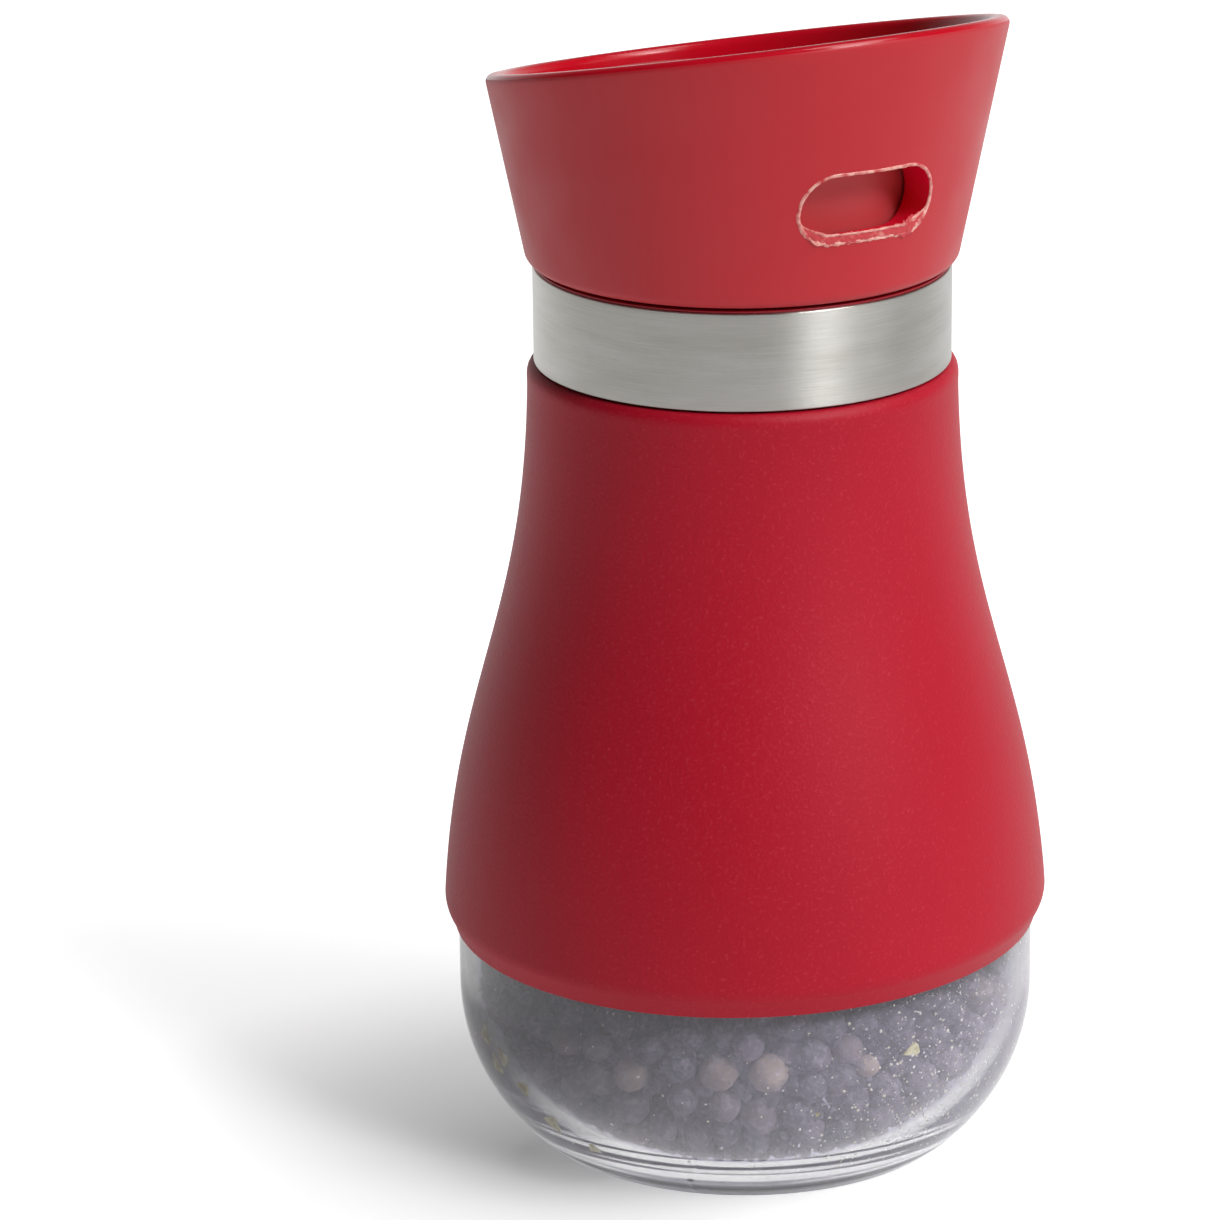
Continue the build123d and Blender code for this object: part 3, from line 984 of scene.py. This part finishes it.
def makeCore():
    # a lumpy heart behind the two layers, dark as painted shade deep in the fill
    c, hidden, floor = coreSet, cornSet["hidden"], jarSet["floor"]
    low, high = floor + c["depth"], fillTop - c["drop"]
    span = (hidden, hidden + c["change"])
    stations = [(nearAxis, low)]
    for height in np.linspace(low, high, c["rows"]):
        deep = c["depth"]
        if height >= hidden:
            deep = np.interp(height, span, (c["depth"], c["hiddenDepth"]))
        wall = float(wallRadius(max(height - c["depth"] * c["sag"], floor + c["footGap"])))
        stations.append((max(wall - deep, c["narrowest"]), height))
    stations.append((nearAxis, high))

    def lumps(turn, r, z):
        a, b = (np.sin(turn * around + z * upwards) for around, upwards in c["waves"])
        ripple = c["lump"] * a * b
        return np.maximum(r + np.where(r > 1, ripple - c["lump"], 0), nearAxis), z

    return turned(stations, around=128, shape=lumps)


makeCorns()


powderSet = {
    "seed": 7,
    "count": 1500,
    "size": (0.05, 0.24),
    "fineness": 2.5,  # the higher, the more small ones
    "height": (4.5, 27.0),
    "crowd": 0.72,  # share that clings round the thickest spot
    "thickest": (10.0, 17.0),  # turn of that spot from the window's own direction, and its spread
    "form": 5,  # the kind of corn that flakes are flattened from
    "length": (0.6, 1.3),
    "width": (0.5, 1.1),
    "thickness": (0.35, 0.12),  # share of the size, and at most
}

# flat bits of husk on the glass: turn, height and half their width
husks = [
    (3.8, 18.0, 1.05),
    (-92.0, 13.4, 1.7),
    (-96.0, 12.0, 1.5),
    (-86.0, 10.8, 1.2),
    (-99.0, 15.0, 1.2),
    (-80.0, 7.6, 1.3),
    (-70.0, 5.6, 1.1),
    (-17.0, 12.4, 0.45),
    (150.0, 14.0, 0.8),
    (95.0, 9.0, 0.6),
]


def addFlakes(name, flakes, material, rng, broken):
    # thin irregular flakes that lie on the inside of the glass
    p = powderSet
    form, sides = cornForm(p["form"], levels=1, broken=broken)
    share, most = p["thickness"]
    points, faces = [], []
    for count, (turn, height, size) in enumerate(flakes):
        length, width = size * rng.uniform(*p["length"]), size * rng.uniform(*p["width"])
        shape = form * [length, width, min(share * size, most)]
        place, out = behindWall(turn, height, 0.0)
        spin = Matrix.Rotation(rng.uniform(0, fullTurn), 3, "Z")
        stand = out.to_track_quat("Z", "Y").to_matrix() @ spin
        points.append((shape @ np.array(stand).T + place) * mm)
        faces += (sides + count * len(form)).tolist()
    addPiece(name, np.vstack(points), faces, "jar", material, "pepper", sharp=60)


def makePowder():
    p = powderSet
    rng = random.Random(p["seed"])
    small, large = p["size"]
    flakes = []
    for _ in range(p["count"]):
        crowded = rng.random() < p["crowd"]
        turn = rng.gauss(*p["thickest"]) if crowded else rng.uniform(-180, 180)
        height = rng.uniform(*p["height"])
        flakes.append((turn, height, small + (large - small) * rng.random() ** p["fineness"]))
    addFlakes("pepper_powder", flakes, finish["powder"], rng, broken=1.6)
    addFlakes("pepper_husks", husks, finish["husk"], rng, broken=2.4)


makePowder()
print("fill placed")


sleeveSet = {
    "wall": 1.5,
    "fit": 0.15,
    "edge": 1.2,
    "innerEdge": 0.3,
    "taper": (1.2, 2.6),  # width and height of the slope at the foot
    "taperRounding": 3.0,
    "taperGap": 1.0,
    "footRounding": 0.12,
    "outerShare": 0.85,  # share of the wall that groove and ridge move
    "groove": (1.0, 0.22, 0.10),  # height above the foot, width and depth
    "ridge": (1.5, 0.30, 0.06),  # depth below the top, width and height
    "hem": (0.15, 0.65, 0.0),  # the foot sits askew: mean lift, tilt and the turn of its high side
    "hemReach": 12.0,
    "spacing": 0.9,
}


def makeSleeve():
    s, j = sleeveSet, jarSet
    inner, outer = -s["fit"], -s["fit"] - s["wall"]
    foot, lip = j["radius"] - inner, j["waist"] - inner
    width, rise = s["taper"]
    outside = np.array(flank(outer))
    corner = sleeveBottom + rise
    cornerRadius = float(np.interp(corner, outside[:, 1], outside[:, 0]))
    stations = [
        *flank(inner),
        (lip, sleeveTop, s["innerEdge"]),
        (lip + s["wall"], sleeveTop, s["edge"]),
        *[tuple(p) for p in outside[outside[:, 1] > corner + s["taperGap"]][::-1]],
        (cornerRadius, corner, s["taperRounding"]),
        (foot + s["wall"] - width, sleeveBottom, s["footRounding"]),
        (foot, sleeveBottom, s["footRounding"]),
    ]
    lift, tilt, highSide = s["hem"]
    grooveRise, grooveWidth, groove = s["groove"]
    ridgeDrop, ridgeWidth, ridge = s["ridge"]

    def moulding(turn, r, z):
        out = r > np.interp(z, outside[:, 1], outside[:, 0]) - s["wall"] * s["outerShare"]
        low = np.exp(-(((z - sleeveBottom - grooveRise) / grooveWidth) ** 2)) * groove
        high = np.exp(-(((z - sleeveTop + ridgeDrop) / ridgeWidth) ** 2)) * ridge
        near = 1 - smoothStep(z, sleeveBottom, sleeveBottom + s["hemReach"])
        askew = lift + tilt * np.cos(turn - math.radians(highSide))
        return r - (low - high) * out, z + near * askew

    dense = denser(outline(*stations), s["spacing"])
    turnPiece("body_sleeve", dense, "jar", "sleeve", "soft_red", sharp=50, shape=moulding)


makeSleeve()


gasketSet = {"rounding": 0.2, "groove": (1.2, 2.2), "grooveDepth": 0.18, "grooveSlope": 0.2}

collarSet = {
    "bore": 21.2,
    "wall": 1.3,
    "deck": 1.5,
    "flange": 0.25,
    "flangeSetBack": 0.2,
    "recess": 0.3,
    "throat": 17.0,
    "spigotWall": 1.6,
    "spigotHeight": 4.4,
    "spigotRounding": 0.75,
    "snap": (2.4, 2.9, 3.4),  # foot, crest and top of the snap ring above the deck
    "snapReach": 0.33,
    "edges": {"foot": 0.25, "flangeFoot": 0.08, "flangeTop": 0.10, "deck": 0.2, "bore": 0.15},
    "threadDepth": 0.8,
    "threadWidth": 0.95,
    "threadTurns": 0.95,
    "threadGap": 0.4,  # between the ends of the bore and its close rows
    "threadZone": 0.3,  # between the ends of the bore and what the thread may move
    "threadSpacing": 0.2,
}

bandSet = {"wall": 0.5, "edge": 0.18, "innerEdge": 0.08, "gap": 0.6, "spacing": 1.2}


def makeGasket():
    g = gasketSet
    near, far = (gasketRadius - step for step in g["groove"])
    floor = gasketTop - g["grooveDepth"]
    stations = [
        (collarSet["throat"], gasketBottom, g["rounding"]),
        (gasketRadius, gasketBottom, g["rounding"]),
        (gasketRadius, gasketTop, g["rounding"]),
        (near, gasketTop),
        (near - g["grooveSlope"], floor),
        (far + g["grooveSlope"], floor),
        (far, gasketTop),
        (collarSet["throat"], gasketTop, g["rounding"]),
    ]
    turnPiece("mouth_gasket", stations, "seal", "seal", "seal_silicone", sharp=35, around=192)


def makeCollar():
    c = collarSet
    edges = c["edges"]
    radius = c["bore"] + c["wall"]
    deckTop = bandTop + c["flange"]
    flange = bandRadius - c["flangeSetBack"]
    spigot = c["throat"] + c["spigotWall"]
    spigotTop = deckTop + c["spigotHeight"]
    foot = bandBottom + c["recess"]
    deckBottom = deckTop - c["deck"]
    snapFoot, snapCrest, snapTop = (deckTop + rise for rise in c["snap"])
    threadFoot, threadTop = foot + c["threadGap"], deckBottom - c["threadGap"]
    stations = [
        (c["bore"], foot, edges["foot"]),
        (radius, foot, edges["foot"]),
        (radius, bandTop),
        (flange, bandTop, edges["flangeFoot"]),
        (flange, deckTop, edges["flangeTop"]),
        (spigot, deckTop, edges["deck"]),
        (spigot, snapFoot),
        (spigot + c["snapReach"], snapCrest),
        (spigot, snapTop),
        (spigot, spigotTop, c["spigotRounding"]),
        (c["throat"], spigotTop, c["spigotRounding"]),
        (c["throat"], deckBottom, edges["deck"]),
        (c["bore"], deckBottom, edges["bore"]),
        *straight((c["bore"], threadTop), (c["bore"], threadFoot), c["threadSpacing"]),
    ]

    def thread(turn, r, z):
        # the collar's thread runs half a pitch above the neck's, so that they pass each other
        low = jarSet["threadLow"] + jarSet["threadPitch"] / 2
        ridge = screwRidge(turn, z, low, c["threadTurns"], c["threadWidth"])
        onBore = np.abs(r - c["bore"]) < 0.02
        clear = (z < deckBottom - c["threadZone"]) & (z > foot + c["threadZone"])
        return np.where(onBore & clear, r - ridge * c["threadDepth"], r), z

    turnPiece("threaded_collar", stations, "lid", "collar", "lid_red", sharp=40, shape=thread)


def makeBand():
    b = bandSet
    inner = bandRadius - b["wall"]
    low, high = bandBottom + b["gap"], bandTop - b["gap"]
    stations = [
        (inner, bandBottom, b["innerEdge"]),
        (bandRadius, bandBottom, b["edge"]),
        *straight((bandRadius, low), (bandRadius, high), b["spacing"]),
        (bandRadius, bandTop, b["edge"]),
        (inner, bandTop, b["innerEdge"]),
    ]
    turnPiece("steel_band", stations, "lid", "steel", "brushed_band", sharp=60, around=288)


makeGasket()
makeCollar()
makeBand()
print("sleeve, gasket, collar and band made")


def dressNode(node, material, sharp=30):
    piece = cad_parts[node]
    piece.data.materials.clear()
    piece.data.materials.append(material)
    piece.data.shade_smooth()
    piece.data.set_sharp_from_angle(angle=math.radians(sharp))


dressNode("dispensing_cup", finish["drum"])

plateSet = {
    "dish": 0.4,
    "border": 2.2,
    "edges": {"foot": 0.15, "rim": 0.2, "dish": 0.25, "floor": 0.3, "gate": 0.1},
    "groove": 0.72,  # radius of the fine ring, as a share of the dish's
    "grooveSteps": (0.15, 0.55, 0.7),
    "grooveDepth": 0.12,
    "gate": 0.9,
    "gateRise": 0.25,
    "gateSlope": 0.25,
    "gateHollow": 0.7,  # share of the gate mark's height that is left on the axis
}


def makePlate():
    p = plateSet
    edges = p["edges"]
    dish = plateRadius - p["border"]
    floor = plateTop - p["dish"]
    ring, groove = dish * p["groove"], floor - p["grooveDepth"]
    first, second, last = (ring - step for step in p["grooveSteps"])
    stations = [
        (nearAxis, plateBottom),
        (plateRadius, plateBottom, edges["foot"]),
        (plateRadius, plateTop, edges["rim"]),
        (dish, plateTop, edges["dish"]),
        (dish - p["dish"], floor, edges["floor"]),
        (ring, floor),
        (first, groove),
        (second, groove),
        (last, floor),
        (p["gate"] + p["gateSlope"], floor, edges["gate"]),
        (p["gate"], floor + p["gateRise"], edges["gate"]),
        (nearAxis, floor + p["gateRise"] * p["gateHollow"]),
    ]
    turnPiece("cup_top_plate", stations, "lid", "drum", "cup_red", sharp=35, around=128)


makePlate()
print("cup and plate dressed")


capSet = {
    "wall": 2.0,
    "overhang": 0.65,  # the cap's foot beyond the band
    "flare": 11.5,
    "height": 23.55,
    "tilt": 11.8,
    "rimRounding": 0.8,
    "rimSteps": 6,
    "rimBand": 0.50,  # how far down from the rim's outer edge the polish reaches
    "skin": 0.12,  # what lies deeper in the wall than this is polished too
    "edge": 1.3,
    "flange": 1.5,
    "flangeRoundings": (0.4, 0.25),
    "bore": 20.65,
    "windowWidth": 16.2,
    "windowHeight": 7.4,
    "windowRise": 10.9,
    "windowEdge": 0.3,
    "duct": 1.0,
    "ductRounding": 0.15,
    "ductFace": 21.35,  # radius of the duct's end, which runs round the drum
    "patchTurn": 26.25,  # half width in degrees of the net round the window
    "patchHeight": 5.6,
    "columns": 288,
    "lowest": 1.9,  # height above the foot of the first level row
    "flatRows": 16.5,  # height above the foot up to which the rows are level
    "rowsBelow": 5,
    "rowsAcross": 15,
    "slopeSteps": 8,
    # shares of the way at which the net has rings: from its border to the window, through the duct,
    # back along the duct's outside, and from the duct to the border on the inside
    "netRings": (0.3, 0.55, 0.75, 0.9),
    "ductRings": (0.15, 0.3, 0.45, 0.6, 0.75, 0.88),
    "ductBackRings": (0.75, 0.5, 0.25, 0),
    "netBackRings": (0.15, 0.5, 0.8),
}
flareSlope = math.tan(math.radians(capSet["flare"]))
footReach = bandRadius + capSet["overhang"]
windowMiddle = capBottom + capSet["windowRise"]


def coneRadius(z, inset=0.0):
    return footReach + (z - capBottom) * flareSlope - inset


def rimHeight(turn, inset):
    # where the slanted plane cuts the cone on this side
    fall = math.sin(turn) * math.tan(math.radians(capSet["tilt"]))
    middle = capBottom + capSet["height"]
    return (middle - fall * (footReach - inset - capBottom * flareSlope)) / (1 + flareSlope * fall)


def capColumn(turn):
    # one section of the cap: outside upwards, over the rim, inside downwards, round the flange
    c = capSet
    top, inTop = rimHeight(turn, 0), rimHeight(turn, c["wall"])
    level, flangeTop = capBottom + c["flatRows"], capBottom + c["flange"]
    outRim, inRim = (coneRadius(top), top), (coneRadius(inTop, c["wall"]), inTop)
    footOut, footIn = (coneRadius(capBottom), capBottom), (c["bore"], capBottom)
    upper, upperIn = (coneRadius(level), level), (coneRadius(level, c["wall"]), level)
    corner, lip = (coneRadius(flangeTop, c["wall"]), flangeTop), (c["bore"], flangeTop)
    rounding = softened(upper, outRim, inRim, c["rimRounding"], c["rimSteps"])
    roundingIn = softened(outRim, inRim, upperIn, c["rimRounding"], c["rimSteps"])
    foot = softened(footIn, footOut, upper, c["edge"], steps=7)
    fillet, small = c["flangeRoundings"]
    rows = [
        foot,
        [(coneRadius(z), z) for z in levelHeights()],
        inSteps(upper, rounding[0], c["slopeSteps"])[1:-1],
        rounding,
        roundingIn,
        inSteps(roundingIn[-1], upperIn, c["slopeSteps"])[1:-1],
        [(coneRadius(z, c["wall"]), z) for z in levelHeights()[::-1]],
        softened(upperIn, corner, lip, fillet, steps=4),
        softened(corner, lip, footIn, small, steps=3),
        softened(lip, footIn, footOut, small, steps=3),
    ]
    return [point for row in rows for point in row], len(foot)


def levelHeights():
    # level rows: a few below the window's net and even ones across it
    c = capSet
    low, high = windowMiddle - c["patchHeight"], windowMiddle + c["patchHeight"]
    lower = np.linspace(capBottom + c["lowest"], low, c["rowsBelow"])[:-1]
    return [*lower, *np.linspace(low, high, c["rowsAcross"])]


def slotSize(outset):
    # radius of the window's round ends, and half the length between their middles
    c = capSet
    return c["windowHeight"] / 2 + outset, (c["windowWidth"] - c["windowHeight"]) / 2


def slotPoint(x, z, outset):
    # the point of the window's outline, moved outwards, that faces this one
    radius, half = slotSize(outset)
    middle = max(-half, min(half, x))
    length = math.hypot(x - middle, z)
    return middle + (x - middle) / length * radius, z / length * radius


def onCone(x, z, inset):
    # the point of the cone straight ahead of the window's (x, z)
    return x, -math.sqrt(coneRadius(z, inset) ** 2 - x**2), z


def makeCap():
    c = capSet
    columns = c["columns"]
    # column 0 faces the window, so that the net is symmetrical
    turns = [math.radians(-90) + 2 * math.pi * k / columns for k in range(columns)]
    sections = [capColumn(turn)[0] for turn in turns]
    footRows = capColumn(0)[1]
    rows = len(sections[0])
    verts = [
        Vector((r * math.cos(turn), r * math.sin(turn), z))
        for turn, section in zip(turns, sections)
        for r, z in section
    ]

    def index(column, row):
        return (column % columns) * rows + row % rows

    half = round(c["patchTurn"] / 360 * columns)
    lowRow = footRows + c["rowsBelow"] - 1
    highRow = footRows + len(levelHeights()) - 1
    # the same heights on the inside, counted down
    inHigh = highRow + 1 + 2 * (c["rimSteps"] + 1) + 2 * (c["slopeSteps"] - 1)
    inLow = inHigh + (highRow - lowRow)
    faces = []
    for k in range(columns):
        side = (k + columns // 2) % columns - columns // 2
        inPatch = -half <= side < half
        for row in range(rows):
            if inPatch and (lowRow <= row < highRow or inHigh <= row < inLow):
                continue
            ring = ((k, row), (k + 1, row), (k + 1, row + 1), (k, row + 1))
            faces.append(tuple(index(*corner) for corner in ring))
    loop = perimeter(half, lowRow, highRow)
    outer = [index(k, row) for k, row in loop]
    inner = [index(k, inHigh + (highRow - row)) for k, row in loop]
    netFaces, netVerts = windowNet(verts, outer, inner)
    points = np.array([tuple(v) for v in verts + netVerts]) * mm
    red, nodes = finish["cap"], ["outer_cap"]
    piece = addPiece("outer_cap", points, faces + netFaces, "cap", red, "cap_red", nodes, sharp=45)
    piece.data.materials.append(finish["rim"])
    piece.data.materials.append(finish["duct"])
    polishCap(piece)


def polishCap(piece):
    # the rim and the inside are polished, and so is the duct, in a much brighter red that is painted
    # light where the lamps barely reach into the window
    c = capSet
    slack, footHeight, beyond = 0.1, 2.0, 0.5
    for face in piece.data.polygons:
        x, y, z = (value / mm for value in face.center)
        deep = coneRadius(z) - math.hypot(x, y)
        low = rimHeight(math.atan2(y, x), 0) - z
        inside = deep > c["skin"] and z > capBottom + footHeight
        onRim = low < c["rimBand"] and deep > -beyond
        face.material_index = int(inside or onRim)
        inWidth = abs(x) < c["windowWidth"] / 2 + slack
        inHeight = abs(z - windowMiddle) < c["windowHeight"] / 2 + slack
        if inWidth and inHeight and y < 0 and deep > c["skin"]:
            face.material_index = 2


def perimeter(half, low, high):
    # grid corners round the net, anticlockwise from its lower left
    loop = [(k, low) for k in range(-half, half)]
    loop += [(half, row) for row in range(low, high)]
    loop += [(k, high) for k in range(half, -half, -1)]
    loop += [(-half, row) for row in range(high, low, -1)]
    return loop


def quarterRound(size, steps):
    # how much of a rounding is left along the first face and along the second, step by step
    angles = [math.radians(90 * step / steps) for step in range(steps + 1)]
    return [(size * (1 - math.sin(a)), size * (1 - math.cos(a))) for a in angles]


def windowNet(verts, outer, inner):
    # rings from the net's border to the window's edge, through the wall and back to the inside
    c = capSet
    edge, duct, wall, soft = c["windowEdge"], c["duct"], c["wall"], c["ductRounding"]
    borders = [
        [(math.atan2(verts[k].x, -verts[k].y), verts[k].z) for k in border]
        for border in (outer, inner)
    ]
    count = len(outer)
    rings, newVerts = [outer], []

    def addRing(points):
        first = len(verts) + len(newVerts)
        newVerts.extend(Vector(point) for point in points)
        rings.append(list(range(first, first + count)))

    def spots(outset):
        # the window's outline, moved outwards, beside each corner of the border
        for turn, z in borders[0]:
            flat = math.sin(turn) * coneRadius(windowMiddle)
            x, rise = slotPoint(flat, z - windowMiddle, outset)
            yield x, windowMiddle + rise

    def addWeb(starts, ends, inset, weights):
        # rings across a face of the wall, between lists of (turn, height)
        for weight in weights:
            points = []
            for (turn, z), (endTurn, endZ) in zip(starts, ends):
                t, h = turn + (endTurn - turn) * weight, z + (endZ - z) * weight
                radius = coneRadius(h, inset)
                points.append((radius * math.sin(t), -radius * math.cos(t), h))
            addRing(points)

    def aroundSlot(outset, inset):
        return [(math.asin(x / coneRadius(z, inset)), z) for x, z in spots(outset)]

    def addFaceRing(outset, inset, depth):
        # the outline on a face of the wall, set back by a depth
        places = [onCone(x, z, inset) for x, z in spots(outset)]
        addRing([(x, y + depth, z) for x, y, z in places])

    def addDuctRing(outset, share, inwards):
        # share runs from the bevel, or from the cap's inside for the duct's outside, to its end
        inset, setBack = (wall, soft) if outset > duct / 2 else (0, edge)
        points = []
        for x, z in spots(outset):
            front = onCone(x, z, inset)[1] + setBack
            back = -math.sqrt(c["ductFace"] ** 2 - x**2) - inwards
            points.append((x, front + (back - front) * share, z))
        addRing(points)

    addWeb(borders[0], aroundSlot(edge, 0), 0, c["netRings"])
    for outset, depth in quarterRound(edge, steps=5):
        addFaceRing(outset, 0, depth)
    for share in c["ductRings"]:
        addDuctRing(0, share, soft)
    for inwards, outset in quarterRound(soft, steps=4):
        addDuctRing(outset, 1, inwards)
    for outset, inwards in quarterRound(soft, steps=4):
        addDuctRing(duct - outset, 1, inwards)
    for share in c["ductBackRings"]:
        addDuctRing(duct, share, soft)
    for depth, outset in quarterRound(soft, steps=3)[1:]:
        addFaceRing(duct + outset, wall, depth)
    addWeb(aroundSlot(duct + soft, wall), borders[1], wall, c["netBackRings"])
    rings.append(inner)
    faces = []
    for a, b in zip(rings, rings[1:]):
        for k in range(count):
            m = (k + 1) % count
            faces.append((a[k], a[m], b[m], b[k]))
    return faces, newVerts


makeCap()
print("cap made")

flashSet = {
    "steps": 340,
    "sides": 10,
    "clumps": ((6.4, 2.0, 0.9), (-5.8, 1.6, 0.45)),  # place along the bottom, reach and extra width
    "bottom": (0.2, 0.95),  # where the bottom of the window begins, as a share of half its height
    "sink": 0.06,
    "ragged": (0.25, 0.40),  # at the top, and what the bottom adds
    # waves of raggedness: share, along and around the strand, and seed
    "waves": ((1.0, 0.15, 0.7, 3.0), (0.6, 0.37, 1.3, 9.0)),
    # how far out from the window's outline each strand lies at the top and at the bottom, its half
    # width there, and how flat it lies on the wall
    "strands": [
        {"outset": (0.20, 0.14), "size": (0.22, 0.23), "flat": 0.70, "finish": "flash"},
        {"outset": (0.12, -0.80), "size": (0.03, 0.12), "flat": 0.80, "finish": "flash"},
        {"outset": (0.16, -0.34), "size": (0.05, 0.46), "flat": 0.24, "finish": "flashSkin"},
    ],
}


def slotWalk(steps, outset):
    # even steps round the window's outline, from the middle of its lower edge
    radius, half = slotSize(outset)
    arcLength = math.pi * radius
    total = 4 * half + 2 * arcLength
    for k in range(steps):
        s = total * k / steps
        if s < half:
            yield s, -radius
        elif s < half + arcLength:
            a = (s - half) / radius - math.pi / 2
            yield half + radius * math.cos(a), radius * math.sin(a)
        elif s < 3 * half + arcLength:
            yield half - (s - half - arcLength), radius
        elif s < 3 * half + 2 * arcLength:
            a = (s - 3 * half - arcLength) / radius + math.pi / 2
            yield -half + radius * math.cos(a), radius * math.sin(a)
        else:
            yield -half + (s - 3 * half - 2 * arcLength), -radius


def strandWalk(strand):
    # the strand's places on the wall, each with its half width and its share of the bottom
    (top, bottom), (thin, thick) = strand["outset"], strand["size"]
    for x, rise in slotWalk(flashSet["steps"], outset=0.01):
        low = float(smoothStep(-rise / (capSet["windowHeight"] / 2), *flashSet["bottom"]))
        outX, outRise = slotPoint(x, rise, top + (bottom - top) * low)
        px, py, pz = onCone(outX, windowMiddle + outRise, 0)
        size = thin + (thick - thin) * low
        for place, width, extra in flashSet["clumps"]:
            size *= 1 + extra * low * math.exp(-(((x - place) / width) ** 2))
        yield Vector((px, py + flashSet["sink"], pz)), size, low


def makeStrand(number, strand):
    # a ragged tube along the window's edge
    path = list(strandWalk(strand))
    points, faces = [], []
    count, sides = len(path), flashSet["sides"]
    least, more = flashSet["ragged"]
    for k, (place, size, low) in enumerate(path):
        along = (path[(k + 1) % count][0] - path[k - 1][0]).normalized()
        out = Vector((place.x, place.y, 0)).normalized()
        across = along.cross(out).normalized()
        for side in range(sides):
            a = 2 * math.pi * side / sides
            rough = 0
            for share, ahead, around, seed in flashSet["waves"]:
                rough += share * noise.noise(Vector((k * ahead, side * around, seed + number)))
            r = size * (1 + rough * (least + more * low))
            section = out * math.cos(a) * strand["flat"] + across * math.sin(a)
            points.append((place + section * r) * mm)
            m, n = (k + 1) % count, (side + 1) % sides
            faces.append((k * sides + side, m * sides + side, m * sides + n, k * sides + n))
    return points, faces


def makeFlash():
    for number, strand in enumerate(flashSet["strands"]):
        points, faces = makeStrand(number, strand)
        name = "window_flash_" + str(number + 1)
        addPiece(name, points, faces, "cap", finish[strand["finish"]], "cap_red", sharp=70)


makeFlash()
print("window flash made")

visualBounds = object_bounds()
both = {"cad": cadBounds, "visual": visualBounds}
{name: [list(corner) for corner in corners] for name, corners in both.items()}
